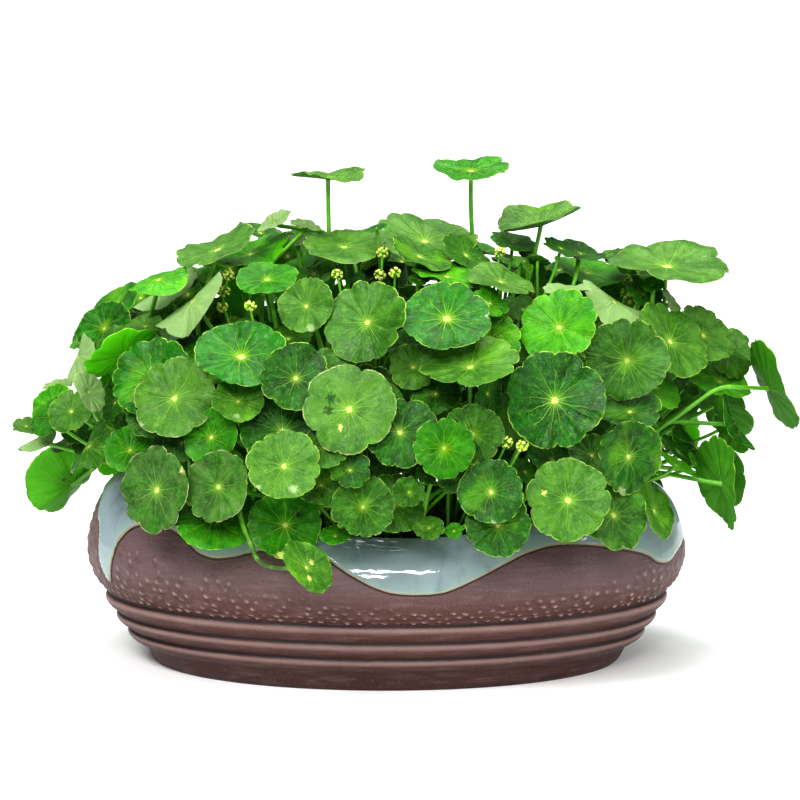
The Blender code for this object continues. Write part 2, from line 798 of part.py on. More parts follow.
def runner_groups(thicket):
    """Root places of the leaves on each runner, which follow each other along a ring."""
    used = {leaf.place[:2] for leaf in thicket.leaves}
    blocked = {flower.place[:2] for flower in thicket.flowers}
    links = []
    for ring in range(RING_COUNT):
        size = sum(place[0] == ring for place in thicket.places)
        indices = sorted(index for where, index in used if where == ring)
        for here, there in zip(indices, indices[1:] + [indices[0] + size]):
            between = {(ring, index % size) for index in range(here + 1, there)}
            if not between & blocked:
                links.append((there - here, ring, here, there % size))
    groups = {place: [place] for place in used}
    count = len(used)
    for gap, ring, here, there in sorted(links):
        left = groups[ring, here]
        right = groups[ring, there]
        if count <= MOST_RUNNERS or left is right or len(left) + len(right) > MOST_ON_RUNNER:
            continue
        for place in left + right:
            groups[place] = left + right
        count -= 1
    return sorted({tuple(group) for group in groups.values()})


def runner_points(group, thicket):
    """The runner's path along its ring, with a short tail past each end."""
    ring = group[0][0]
    along = [place[2] for place in thicket.places if place[0] == ring]
    size = len(along)
    first = group[0][1]
    steps = (group[-1][1] - first) % size
    points = [along[(first + step) % size] for step in range(steps + 1)]
    before = along[(first - 1) % size]
    after = along[(first + steps + 1) % size]
    head = points[0] + (before - points[0]).normalized() * RUNNER_TAIL
    tail = points[-1] + (after - points[-1]).normalized() * RUNNER_TAIL
    return [head] + points + [tail]


def whorl_mesh(centre):
    shape = bmesh.new()
    place = Matrix.Translation(centre)
    bmesh.ops.create_icosphere(shape, subdivisions=1, radius=WHORL_RADIUS, matrix=place)
    return closed_mesh(shape, "whorl")


def grown_together(name, base, pieces, plants, material):
    """One solid of a stem and all that grows from it."""
    helpers = bpy.data.collections.new(name + "_pieces")
    for mesh in pieces:
        helpers.objects.link(bpy.data.objects.new(name + "_piece", mesh))
    trunk = bpy.data.objects.new(name + "_trunk", base)
    bpy.context.scene.collection.objects.link(trunk)
    union = trunk.modifiers.new("Grown together", "BOOLEAN")
    union.operation = "UNION"
    union.solver = "EXACT"
    union.operand_type = "COLLECTION"
    union.collection = helpers
    solid = evaluated_copy(trunk, name)
    for helper in list(helpers.objects):
        bpy.data.objects.remove(helper, do_unlink=True)
    bpy.data.collections.remove(helpers)
    return place_object(name, solid, plants, material)


def build_leafy_runners(thicket, plants, material):
    leaf_at = {leaf.place[:2]: leaf for leaf in thicket.leaves}
    for number, group in enumerate(runner_groups(thicket), 1):
        stem = stem_mesh("runner", runner_points(group, thicket), RUNNER_RADIUS)
        leaves = [leaf_mesh(leaf_at[place]) for place in group]
        grown_together("leafy_runner_%02d" % number, stem, leaves, plants, material)


def build_flower_stalks(thicket, plants, material):
    for number, flower in enumerate(thicket.flowers, 1):
        foot = flower.stalk[0] - UPWARD * (RUNNER_RADIUS - TOUCH_GAP)
        points = [foot] + flower.stalk[1:] + flower.whorls[-2::-1]
        stem = stem_mesh("flower_stem", points, FLOWER_STALK_RADIUS)
        whorls = [whorl_mesh(centre) for centre in flower.whorls]
        grown_together("flower_stalk_%d" % number, stem, whorls, plants, material)


def main():
    clear_scene()
    plants = new_collection("potted_water_pennywort")
    pot = place_object("pot", bowl_mesh(), plants, principled("glazed_clay", *GLAZED_CLAY))
    place_object("soil", soil_mesh(), plants, principled("wet_soil", *WET_SOIL))
    pot_shape = bmesh.new()
    pot_shape.from_mesh(pot.data)
    thicket = Thicket(BVHTree.FromBMesh(pot_shape))
    pot_shape.free()
    rng = random.Random(SEED)
    grow_seen_plants(thicket, rng)
    fill_dome(thicket, rng)
    build_leafy_runners(thicket, plants, principled("leaf_green", *LEAF_GREEN))
    build_flower_stalks(thicket, plants, principled("flower_green", *FLOWER_GREEN))


main()
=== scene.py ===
"""A potted water pennywort in a plain studio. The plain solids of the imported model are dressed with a
glazed stoneware bowl, wet soil, and creeping runners with round, veined leaves and flower stalks.
Metres, +Z up, +X along the bowl's long axis."""

import math
from types import SimpleNamespace

import bmesh
import bpy
import numpy as np
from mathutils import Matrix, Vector, noise


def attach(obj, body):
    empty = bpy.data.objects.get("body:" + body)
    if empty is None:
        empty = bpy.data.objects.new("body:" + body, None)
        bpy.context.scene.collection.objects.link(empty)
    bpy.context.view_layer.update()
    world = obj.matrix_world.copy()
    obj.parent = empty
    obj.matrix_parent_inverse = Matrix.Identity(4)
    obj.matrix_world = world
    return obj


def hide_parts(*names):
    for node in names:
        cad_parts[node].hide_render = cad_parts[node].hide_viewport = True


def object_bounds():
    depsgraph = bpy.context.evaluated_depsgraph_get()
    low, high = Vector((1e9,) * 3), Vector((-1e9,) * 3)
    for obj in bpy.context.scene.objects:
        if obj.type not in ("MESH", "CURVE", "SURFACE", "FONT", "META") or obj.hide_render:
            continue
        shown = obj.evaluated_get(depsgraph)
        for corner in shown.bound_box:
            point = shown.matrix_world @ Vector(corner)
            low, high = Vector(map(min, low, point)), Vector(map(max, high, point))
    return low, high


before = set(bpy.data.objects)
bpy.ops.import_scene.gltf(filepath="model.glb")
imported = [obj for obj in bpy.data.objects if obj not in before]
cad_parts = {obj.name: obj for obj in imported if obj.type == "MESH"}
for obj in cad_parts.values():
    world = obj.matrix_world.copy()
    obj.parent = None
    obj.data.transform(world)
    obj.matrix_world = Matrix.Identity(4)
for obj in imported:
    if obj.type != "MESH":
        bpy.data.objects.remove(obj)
solid_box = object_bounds()

# Sizes of the bowl

DEPTH_TO_WIDTH = 0.645
RIM_FRONT = 0.0785
BELLY_HALF_WIDTH = 0.155
# The rim rises towards both ends of the oval, from this height up, and a little less at the right end
RIM_END_LIFT = 0.0205
LIFT_START = 0.030
SIDE_LEAN = 0.0025

# The bowl's section as (half width, height): the inside, the lip and belly, the three bands, the foot
INSIDE = [(0.0, 0.010), (0.110, 0.010), (0.131, 0.022), (0.146, 0.040), (0.1515, 0.054),
          (0.146, 0.066), (0.1290, 0.0755)]
LIP_AND_BELLY = [(0.1290, 0.0755), (0.1300, 0.0785), (0.1355, 0.0785), (0.1470, 0.0735),
                 (0.1550, 0.0650), (0.1600, 0.0530), (0.1570, 0.0440), (0.1490, 0.0370)]
BANDS = [
    [(0.1490, 0.0370), (0.1505, 0.0328), (0.1435, 0.0275)],
    [(0.1435, 0.0275), (0.1447, 0.0232), (0.1375, 0.0185)],
    [(0.1375, 0.0185), (0.1385, 0.0143), (0.1300, 0.0095)],
]
FOOT = [(0.1300, 0.0095), (0.1277, 0.0048), (0.1252, 0.0006), (0.1240, 0.0)]
UNDERSIDE = [(0.060, 0.0), (0.0, 0.0)]
# The spacing of the section's points along each stretch, the steps of a band and those round the bowl
INSIDE_SPACING = 0.0050
BELLY_SPACING = 0.00066
FOOT_SPACING = 0.0024
BAND_STEPS = 9
BOWL_STEPS = 600

# Where the glaze ends, as (degrees round from the right end, height): it runs down in long drips
GLAZE_EDGE = [
    (-180, 0.0700), (-172, 0.0685), (-166.8, 0.0635), (-161.2, 0.0582), (-158.3, 0.0489),
    (-156.1, 0.0445), (-153.6, 0.0475), (-152.0, 0.0532), (-151.0, 0.0579), (-149.2, 0.0622),
    (-146.0, 0.0662), (-140, 0.0690), (-133, 0.0680), (-126.5, 0.0632), (-122.9, 0.0630),
    (-119.6, 0.0648), (-116.8, 0.0670), (-111, 0.0715), (-106, 0.0735), (-103.4, 0.0725),
    (-100.8, 0.0689), (-95.2, 0.0610), (-89.9, 0.0552), (-84.7, 0.0536), (-79.5, 0.0544),
    (-74.1, 0.0592), (-68.1, 0.0648), (-62.3, 0.0686), (-56.9, 0.0697), (-50.4, 0.0679),
    (-42.1, 0.0635), (-36.7, 0.0603), (-31.9, 0.0569), (-29.5, 0.0542), (-26.5, 0.0527),
    (-23.1, 0.0521), (-18.3, 0.0539), (-8.7, 0.0570), (-2, 0.0620), (6, 0.0650), (14, 0.0610),
    (22, 0.0570), (31, 0.0600), (41, 0.0690), (50, 0.0680), (56, 0.0560), (60, 0.0490), (64, 0.0500),
    (69, 0.0620), (78, 0.0690), (88, 0.0640), (98, 0.0590), (108, 0.0640), (117, 0.0700),
    (126, 0.0640), (133, 0.0540), (140, 0.0520), (147, 0.0580), (155, 0.0670), (164, 0.0695),
    (180, 0.0700),
]
GLAZE_THICKNESS = 0.0009
GLAZE_SWELL = 0.0011

# Rows of small raised grains pressed out of the clay above the top band, clear of the glaze
GRAIN_CLEARANCE = 0.0012
GRAIN_SPACING = 0.0066
GRAIN_ROW_STEP = 0.0037
GRAIN_FIRST_ROW = 0.0030
GRAIN_ROWS = 10
GRAIN_HALF_LENGTH = 0.0016
GRAIN_HALF_WIDTH = 0.0012
GRAIN_HEIGHT = 0.0009
# How many rows up the grains reach, as (degrees round from the right end, rows)
GRAIN_REACH = [(-180, 7.5), (-150, 7.5), (-133, 6.0), (-118, 4.4), (-104, 3.2), (-90, 2.2), (-70, 2.2),
               (-50, 3.0), (-25, 4.8), (0, 5.5), (45, 3.8), (90, 2.2), (135, 3.8), (180, 7.5)]

# Sizes of the soil

# Its half width and half depth, its height at the edge, its crown and where that levels out
SOIL_SPREAD = (0.124, 0.074)
SOIL_EDGE_HEIGHT = 0.0650
SOIL_CROWN = 0.0040
SOIL_CROWN_END = 1.6
# The plain solid's corners above this height and beyond this radius lie along the bowl's wall
SOIL_WALL_HEIGHT = 0.0645
SOIL_WALL_RADIUS = 0.130
SOIL_STEPS = 240
SOIL_RINGS = 46
SOIL_DEPTH = 0.012

# Sizes of the plants

# A blade's segments and the rings of its top and underside, for the seen leaves and the inner ones
FINE_BLADE = (120, [0.975, 0.93, 0.84, 0.72, 0.58, 0.44, 0.30, 0.18, 0.08], [0.97, 0.78, 0.45, 0.12])
PLAIN_BLADE = (48, [0.96, 0.80, 0.55, 0.28], [0.95, 0.50])
BLADE_THICKNESS = 0.00045
# A leaf whose halves bend up needs a thicker blade, so that the coarser underside stays below the top
CUPPED_BLADE_THICKER = 2.2
# How far the plain solids' stalks end below the blade's middle
SOLID_BLADE_DEPTH = 0.0022
# The dimple over the stalk, as a share of the leaf's radius
CENTRE_DIP = 0.045
# Leaf edges nearer than this to the box of the solids are pressed back softly
EDGE_MARGIN = 0.0015
STALK_RADIUS = 0.00125
INNER_STALK_RADIUS = 0.00095
STALK_BOW = 0.0012
STALK_STEP = 0.014
FLOWER_STALK_RADIUS = 0.0008
SHORT_STEM_RADIUS = 0.00028
FLORETS = 13
FLORET_TURN = 2.4
WHORL_RADIUS = 0.0038
WHORL_TOLERANCE = 0.00008
MERGE_DISTANCE = 0.00002
# A runner lies on an oval ring on the soil, whose half depth is its half width less a fixed difference
RUNNER_RADIUS = 0.0016
RUNNER_LIFT = 0.0022
RUNNER_TAIL = 0.0040
RUNNER_STEP = 0.006
RUNNER_WIGGLE = 0.0004
RING_RANGE = (0.052, 0.20)
RING_DIFFERENCE = 0.050

# The view and the light

# The camera's place and aim, half the picture's side and the focal length in its units, the sensor
EYE = Vector((0.0073, -1.300, 0.300))
LOOK_AT = Vector((0.0073, 0.0, 0.139))
VIEW_HALF = 400
VIEW_FOCAL = 2454
SENSOR_WIDTH = 36
SKY_COLOUR = (0.95, 0.98, 1.0, 1.0)
SKY_STRENGTH = 0.34
LAMP_AIM = Vector((0, 0, 0.12))
# Each lamp's name, place, size and power
LAMPS = [
    ("key_light", (-0.75, -1.00, 1.35), (0.9, 0.6), 18.0),
    ("top_light", (0.15, 0.10, 1.60), (1.6, 1.2), 23.0),
    ("strip_light", (-0.10, -1.45, 0.98), (0.95, 0.07), 7.0),
    ("spark_light", (-0.12, -1.50, 0.82), (0.16, 0.06), 2.0),
    ("side_light", (1.40, -0.70, 0.90), (0.5, 1.0), 9.0),
]

# The looks of single leaves

# The leaves' tones, by where their middles are seen in the view of 800 units square
LEAF_TONES = {
    "pale": [(349, 409), (174, 398), (344, 246), (667, 265), (540, 223), (328, 177), (217, 249),
             (425, 240), (501, 281), (26, 426)],
    "light": [(568, 500), (306, 306), (284, 466), (470, 366), (376, 245), (671, 341), (704, 335),
              (524, 261), (71, 411), (307, 567), (238, 401), (413, 367), (145, 326), (729, 351),
              (429, 528), (655, 511)],
    "bright": [(559, 327), (53, 408), (121, 355), (158, 279), (447, 276), (720, 381), (653, 285),
               (588, 272), (198, 277), (250, 252)],
    "grass": [(444, 448), (490, 303), (214, 518), (130, 450), (211, 437), (285, 525), (335, 536),
              (454, 531), (471, 170), (267, 279), (644, 294)],
    "dark_grass": [(241, 356), (447, 318), (488, 340), (152, 378), (105, 318), (104, 328)],
    "mid": [(367, 322), (473, 434), (627, 360), (394, 504), (409, 492), (363, 507), (325, 448),
            (614, 515), (420, 256), (326, 370), (321, 485), (592, 455), (88, 446)],
    "deep": [(491, 492), (629, 457), (555, 400), (498, 526), (282, 431), (296, 378), (400, 432),
             (736, 423), (724, 483), (771, 387), (580, 253), (698, 447), (488, 394), (350, 470),
             (630, 411)],
    # Dark leaves with a grey bloom and a painted grey sheen
    "dust_and_sheen": [(156, 490), (218, 487)],
    # Pale leaves with a painted whitish sheen
    "grey": [(77, 357), (58, 385), (37, 438), (615, 301), (567, 290), (274, 222), (297, 240),
             (306, 226), (163, 288), (671, 303), (89, 392), (192, 300)],
}
# Each tone's place from dark to light, and its grey bloom with a painted grey sheen, below 0 for a
# clear yellow-green and above 1 for a painted whitish sheen
TONE_LOOK = {
    "deep": (0.05, 0.12),
    "dust_and_sheen": (0.20, 0.90),
    "mid": (0.52, 0.10),
    "grass": (0.28, -1.00),
    "dark_grass": (0.00, -1.00),
    "bright": (0.72, -0.90),
    "light": (0.92, 0.10),
    "pale": (0.84, 0.60),
    "grey": (0.90, 1.50),
}
# How near a leaf's middle has to be seen to a place in these tables
TONE_REACH = 14
FOLD_REACH = 5

# Leaves that are folded along a line through the middle: where they are seen, the line's direction
# in the view, anticlockwise from the right, and the bend of each half, in degrees
FOLDED_LEAVES = [
    (775, 383, -66, 42), (540, 223, 16, -14), (88, 446, 62, 34), (724, 483, 84, 14),
    (736, 423, -62, 30), (77, 357, 68, 30), (192, 300, 42, 22), (163, 288, 38, 20), (37, 438, 30, 25),
    (698, 447, -48, 26), (615, 301, -32, 18), (376, 245, 8, 20), (158, 279, 20, 20), (524, 261, 30, 24),
    (71, 483, 40, -30),
]

# Runners whose leaves take another random shape than their number gives
SHAPE_SEEDS = {36: 1036}

# The wettest, glossiest leaves. Each leaf has a chance value of its own, which picks its veins and
# mottling, and a high one also makes it wet
WET_LEAVES = [(363, 507), (473, 434), (627, 360), (429, 528), (444, 448), (104, 328), (88, 446), (409, 492)]
WET_CHANCE = 0.95
HIGHEST_OTHER_CHANCE = 0.9

# Marks on the leaves, where they are seen, with their half width there and the middle of their
# leaf: dark blotches, a hole painted as near-black shade, old yellow spots, and pale grazes, some
# of them painted glints on glossy tips
LEAF_MARKS = {
    "blotch": [(329, 397, 5.5, 349, 409), (326, 410, 4.5, 349, 409)],
    "hole_painted_as_shade": [(299, 514, 3.2, 285, 525)],
    "yellow": [(340, 429, 3.5, 349, 409), (182, 471, 3.4, 156, 490), (541, 493, 3.0, 568, 500),
               (309, 579, 4.0, 307, 567), (311, 562, 3.2, 307, 567), (281, 555, 5.0, 285, 525)],
    # Grazes; on the glossy tips of the leaf at (174, 398) they are painted glints
    "graze_and_painted_glint": [(293, 488, 5.0, 284, 466), (259, 486, 3.0, 284, 466), (237, 416, 3.2, 238, 401),
              (622, 491, 4.6, 629, 457), (494, 523, 3.2, 491, 492), (138, 428, 4.6, 174, 398),
              (210, 368, 3.4, 174, 398), (310, 327, 4.2, 306, 306), (505, 313, 3.6, 447, 318)],
}

# Small leaves inside the tuft, which have no solid of their own, as millimetres and degrees: the
# middle, the way the face turns and rises, the radius, and the foot on a runner
INNER_LEAVES = [
    (1, 46, 201, 96, 54, 16.0, 6, -9), (61, -43, 124, -73, 15, 16.0, 43, -42),
    (-32, -16, 191, -129, 16, 16.0, -19, -8), (140, -38, 151, -39, 43, 16.0, 109, -11),
    (-78, 11, 195, 116, 19, 13.1, -38, 7), (25, -86, 153, -101, 40, 13.1, 5, -74),
    (-50, 25, 207, -153, 59, 16.0, -41, -6), (75, 36, 156, 58, 6, 16.0, 63, 36),
    (8, 61, 155, 99, 22, 16.0, 0, 61), (-151, 17, 145, -178, 40, 16.0, -105, 19),
    (84, -81, 119, -61, 47, 13.1, 57, -52), (68, 12, 223, -58, 67, 13.1, 51, 5),
    (119, 70, 118, 57, 19, 16.0, 74, 59), (-94, -6, 183, -112, 27, 13.1, -70, -4),
    (-47, 98, 127, 107, 35, 16.0, -36, 57), (71, -36, 191, -72, 62, 13.1, 56, -27),
    (78, 37, 203, 47, 67, 13.1, 35, 32), (106, 30, 182, 41, 35, 16.0, 68, 7),
    (161, 36, 135, 41, 19, 13.1, 105, 18), (-134, -15, 138, -151, 33, 16.0, -93, -14),
    (14, 87, 139, 69, 37, 16.0, -4, 74), (3, -78, 121, -94, 41, 13.1, -9, -47),
    (-30, 32, 161, 105, 40, 16.0, -36, 45), (9, 13, 196, 172, 7, 16.0, -26, -20),
    (-12, 69, 108, 124, 32, 13.1, 0, 35), (148, -64, 114, -10, 58, 13.1, 28, -33),
    (-172, 12, 114, -150, 65, 10.7, -43, 43), (-130, 22, 181, -157, 25, 16.0, -92, 16),
    (65, -66, 137, -53, 3, 16.0, 50, -54), (-51, 73, 116, 62, 10, 13.1, -36, 45),
    (-80, 34, 158, 88, 67, 16.0, -68, 35), (-145, -16, 169, -138, 31, 13.1, -49, 41),
    (-102, -86, 128, -107, 31, 10.7, -86, -53), (-9, -73, 151, -101, 19, 16.0, -12, -74),
    (54, 71, 151, 81, 75, 16.0, 36, 57), (-84, -34, 151, -106, 24, 16.0, -60, -24),
    (157, 38, 116, 30, 5, 13.1, 39, 19), (21, -15, 196, 61, 66, 16.0, 26, -21),
    (-41, -35, 200, -176, 59, 16.0, -34, -19), (153, -34, 116, -16, 47, 13.1, 55, -3),
    (104, 34, 142, 41, 56, 16.0, 86, 38), (92, -13, 221, -42, 63, 10.7, 36, -31),
    (68, -50, 167, -89, 19, 16.0, 61, -24), (0, 66, 186, 92, 77, 16.0, -60, 51),
    (26, 57, 107, 63, 28, 13.1, 35, 32), (34, -109, 114, -85, 21, 8.7, 14, -48),
    (-19, 94, 146, 96, 32, 16.0, -44, 55), (-104, 81, 119, 128, 44, 16.0, -51, 53),
    (44, 29, 210, -137, 75, 10.7, 35, -19), (-76, -41, 122, -101, 37, 13.1, -53, -26),
    (0, -1, 171, -173, 53, 16.0, -49, 41), (-101, 22, 172, -151, 63, 16.0, -73, 32),
    (70, -89, 114, -46, 38, 8.7, 35, -44), (80, -8, 214, 67, 61, 7.0, 100, 26),
    (-50, -49, 177, -105, 60, 13.1, -46, -29), (-45, 66, 159, 95, 42, 16.0, -43, 43),
    (133, 60, 128, 47, 30, 16.0, 86, 38), (33, 45, 195, 112, 84, 16.0, 59, 51),
    (103, -44, 167, -28, 56, 16.0, 73, -32), (24, 79, 178, 86, 76, 16.0, 41, 69),
    (-74, 71, 164, 96, 35, 16.0, -88, 37), (90, 79, 119, 42, 60, 13.1, 59, 51),
    (115, -5, 172, -79, 26, 13.1, 96, -10), (-164, 38, 122, -179, 20, 8.7, -99, 27),
    (-133, 47, 148, 126, 14, 13.1, -103, 22), (-37, 46, 185, 137, 28, 13.1, 34, 71),
    (48, -22, 178, -84, 14, 16.0, 43, -18), (101, -63, 141, -50, 36, 16.0, 68, -35),
    (20, -105, 114, -56, 47, 5.6, -9, -47), (-16, -31, 162, -174, 52, 16.0, -18, -21),
    (-118, -50, 129, -120, 41, 13.1, -87, -22), (-108, -37, 166, -140, 49, 16.0, -89, -36),
    (-29, 74, 187, 86, 59, 13.1, -2, -9), (-129, 5, 121, -146, 42, 10.7, -98, -2),
    (44, -55, 148, -86, 14, 5.6, 27, -8), (90, 2, 196, -96, 72, 10.7, 50, -15),
    (40, -4, 206, -37, 73, 16.0, 13, -60), (10, -60, 175, -105, 52, 10.7, -2, -9),
    (-13, 22, 200, -161, 75, 10.7, -74, 18), (-69, -20, 190, -152, 37, 8.7, -35, -7),
    (15, 91, 114, 82, 16, 10.7, 0, 61), (-157, -9, 117, -110, 54, 10.7, -90, -18),
    (-83, -56, 160, -153, 70, 16.0, -60, -51), (-51, -6, 206, -98, 67, 10.7, -31, -45),
    (31, -66, 142, -78, 29, 8.7, 14, -48), (67, 49, 127, 85, 61, 13.1, 45, 6),
    (184, 2, 126, 4, 18, 10.7, 97, 29), (-74, 68, 128, 92, 38, 13.1, -47, 68),
    (-42, -59, 160, -108, 28, 10.7, -48, -55), (142, 14, 136, -28, 14, 8.7, 108, 14),
    (-176, -20, 133, -130, 42, 13.1, -75, -59), (21, -61, 115, -92, 41, 8.7, 7, -48),
    (92, 59, 145, 58, 55, 16.0, 97, 29), (-74, -49, 183, -116, 63, 8.7, -24, -47),
    (-27, 21, 221, 68, 59, 10.7, -30, 8), (127, 33, 151, 62, 77, 10.7, 93, 14),
    (-126, 15, 159, -164, 55, 10.7, -107, 15), (69, 86, 135, 77, 55, 13.1, 44, 55),
    (-36, -78, 132, -110, 27, 16.0, -27, -59), (72, 20, 163, 22, 62, 10.7, 84, -5),
    (120, -29, 151, -70, 17, 13.1, 86, -22), (-141, -35, 142, -140, 24, 10.7, -69, -61),
    (53, 64, 182, 63, 55, 10.7, 95, 10), (76, 12, 216, -66, 60, 5.6, 93, -14),
    (137, -13, 133, -52, 45, 10.7, 110, -7), (-10, 99, 114, 112, 30, 8.7, -4, 74),
    (17, -50, 207, -83, 66, 5.6, -38, -31), (-128, 52, 118, 175, 42, 13.1, -92, 34),
    (80, -29, 179, -82, 59, 8.7, 57, -52), (29, 17, 216, -8, 73, 13.1, 51, 53),
    (-8, 4, 204, -124, 59, 13.1, -53, -26), (28, 57, 136, 59, 71, 10.7, 9, 9),
    (-11, -52, 174, -121, 42, 8.7, -9, -47), (-27, -71, 166, -117, 48, 10.7, -19, -60),
    (46, -39, 203, -74, 64, 8.7, 3, -60), (130, -59, 138, -46, 40, 10.7, 97, -29),
    (-11, 49, 117, 142, 62, 13.1, 0, 35), (-64, 43, 172, 65, 58, 13.1, 9, 9),
    (-6, -103, 114, -83, 32, 5.6, -48, -55), (160, -48, 112, -16, 34, 7.0, 36, -31),
    (56, -55, 183, -35, 52, 8.7, 9, 9), (-94, 46, 155, 125, 45, 10.7, -98, -2),
    (67, -2, 200, -31, 58, 8.7, 55, -3), (-119, -71, 140, -108, 34, 13.1, -31, -45),
    (-119, -3, 185, 177, 11, 7.0, -96, -10), (25, -39, 202, -72, 69, 5.6, 35, -44),
    (27, 35, 125, 55, 45, 10.7, 36, 57), (102, 84, 137, 68, 36, 10.7, 93, -14),
    (-1, -92, 150, -78, 38, 10.7, -69, -61), (-14, 81, 118, 117, 31, 10.7, -47, 68),
    (113, -68, 114, -58, 55, 10.7, 58, -1), (16, -78, 114, -92, 32, 5.6, -19, -60),
    (141, -23, 119, -9, 49, 8.7, 104, -20), (-91, -63, 144, -125, 38, 13.1, -29, -71),
    (100, -22, 187, -24, 50, 8.7, 65, 9), (84, -68, 155, -57, 54, 13.1, 79, -57),
    (-61, 88, 142, 124, 57, 10.7, -12, 73), (-45, -91, 117, -92, 47, 10.7, -20, -73),
    (73, 101, 113, 79, 29, 7.0, 26, -21), (-63, -30, 150, -104, 58, 8.7, -96, -6),
    (45, -50, 191, -52, 26, 5.6, 32, -71), (161, 5, 147, -34, 39, 8.7, 110, 6),
    (-24, -56, 175, -101, 35, 7.0, -72, -32), (140, 21, 198, -19, 62, 7.0, 75, -45),
    (-37, 4, 211, -178, 62, 5.6, -68, -7), (41, 75, 125, 68, 37, 7.0, 48, 68),
    (-51, 48, 162, 107, 70, 10.7, -58, 2), (34, -58, 180, -108, 62, 10.7, -26, -20),
    (140, -6, 114, 14, 38, 8.7, 110, -7), (-88, -19, 123, 168, 40, 8.7, -65, -10),
    (-136, 41, 132, 153, 48, 8.7, -27, -8), (-85, -8, 161, -139, 64, 8.7, -87, -22),
    (-100, 56, 115, 159, 46, 13.1, -68, 35), (-6, -10, 190, 167, 85, 10.7, -60, -24),
    (38, -51, 119, -42, 12, 8.7, 28, -33), (-74, -8, 209, -154, 61, 7.0, -84, -5),
    (88, -21, 188, -43, 47, 5.6, 81, -9), (14, 30, 143, -16, 85, 8.7, 26, -21),
    (88, 53, 177, 58, 24, 8.7, 103, 21), (7, -19, 146, -25, 50, 8.7, -1, -48),
    (124, -46, 145, -77, 36, 10.7, 50, -15), (-63, -67, 164, -86, 39, 8.7, -54, -53),
    (161, -4, 161, -42, 29, 5.6, 97, -29), (54, -82, 146, -50, 15, 7.0, 43, -42),
    (-151, -10, 132, -153, 18, 10.7, -109, -9), (-66, 20, 133, -113, 46, 13.1, -38, 7),
    (-85, -88, 113, -103, 8, 10.7, -70, -4), (95, 3, 160, -11, 28, 13.1, 51, 53),
    (41, -27, 199, -45, 70, 5.6, 57, -52), (-74, 11, 166, -174, 57, 7.0, -42, -17),
    (125, 35, 195, -90, 5, 15.5, 103, 21), (136, 45, 204, -115, 25, 15.5, 103, 21),
    (-108, 30, 193, -90, 5, 15.5, -99, 27), (-55, 60, 212, -90, 5, 13.6, -52, 67),
    (-85, 30, 207, -90, 5, 15.5, -88, 37), (88, 40, 207, -140, 70, 7.8, 86, 38),
    (-137, 60, 189, -115, 50, 13.6, -99, 27), (-69, 45, 226, -40, 70, 13.6, -66, 49),
    (8, 75, 208, -115, 25, 15.5, 5, 73), (79, 15, 196, -65, 5, 15.5, 90, 18),
    (-40, 35, 204, -115, 25, 15.5, -43, 43), (-47, 75, 214, -90, 25, 15.5, -47, 68),
    (65, 60, 209, -40, 70, 7.8, 68, 62), (-83, 35, 180, -115, 5, 15.5, -83, 40),
    (42, -20, 218, -40, 50, 15.5, 43, -18), (125, 65, 213, -140, 70, 7.8, 93, 33),
    (132, 30, 189, -90, 5, 15.5, 105, 18), (-142, 60, 180, -115, 70, 15.5, -99, 27),
    (-5, -20, 232, -140, 70, 6.3, -8, -21), (-165, -10, 124, -90, 25, 7.8, -110, -1),
    (72, 70, 207, -65, 70, 9.7, 68, 62), (96, 70, 204, -140, 70, 15.5, 79, 57),
]


# Small helpers


def shade(red, green, blue):
    """A colour given as it looks, 0 to 255, turned into light."""
    parts = [value / 255 for value in (red, green, blue)]
    return tuple(v / 12.92 if v <= 0.04045 else ((v + 0.055) / 1.055) ** 2.4 for v in parts)


def smooth_step(value):
    """Eases from 0 to 1 as the value goes from 0 to 1, and stays there beyond."""
    value = np.clip(value, 0.0, 1.0)
    return value * value * (3 - 2 * value)


def along_round(angles, table):
    """Reads a table of (degrees, value) that closes on itself, as one smooth curve."""
    at = np.array([row[0] for row in table], float)
    value = np.array([row[1] for row in table], float)
    at = np.concatenate([at[-3:-1] - 360, at, at[1:3] + 360])
    value = np.concatenate([value[-3:-1], value, value[1:3]])
    slope = np.gradient(value, at)
    angles = np.degrees(angles)
    row = np.clip(np.searchsorted(at, angles, side="right") - 1, 0, len(at) - 2)
    gap = at[row + 1] - at[row]
    share = (angles - at[row]) / gap
    ease = smooth_step(share)
    lean = share * (1 - share) * gap
    return (value[row] * (1 - ease) + value[row + 1] * ease
            + lean * (slope[row] * (1 - share) - slope[row + 1] * share))


def points_of(mesh):
    """A mesh's corners as rows of x, y, z."""
    points = np.empty(len(mesh.vertices) * 3)
    mesh.vertices.foreach_get("co", points)
    return points.reshape(-1, 3)


def set_points(mesh, points):
    """Moves a mesh's corners to rows of x, y, z."""
    mesh.vertices.foreach_set("co", np.ascontiguousarray(points, float).ravel())
    mesh.update()


def add_values(mesh, name, values):
    """Stores one number or one triple per vertex under a name that the materials read."""
    values = np.asarray(values, np.float32)
    kind = "FLOAT" if values.ndim == 1 else "FLOAT_VECTOR"
    layer = mesh.attributes.new(name, kind, "POINT")
    layer.data.foreach_set("value" if kind == "FLOAT" else "vector", values.ravel())


def select_only(*objects):
    """Selects these objects and makes the first one active."""
    bpy.ops.object.select_all(action="DESELECT")
    for obj in objects:
        obj.select_set(True)
    bpy.context.view_layer.objects.active = objects[0]


def join(name, objects):
    """Joins objects into one named piece."""
    select_only(*objects)
    if len(objects) > 1:
        bpy.ops.object.join()
    piece = bpy.context.view_layer.objects.active
    piece.name = name
    piece.data.name = name
    return piece


def finish_piece(piece, nodes):
    """Ties a piece to the body and hides the plain solids it stands for."""
    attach(piece, "root")
    for node in nodes:
        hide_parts(node)


# Materials


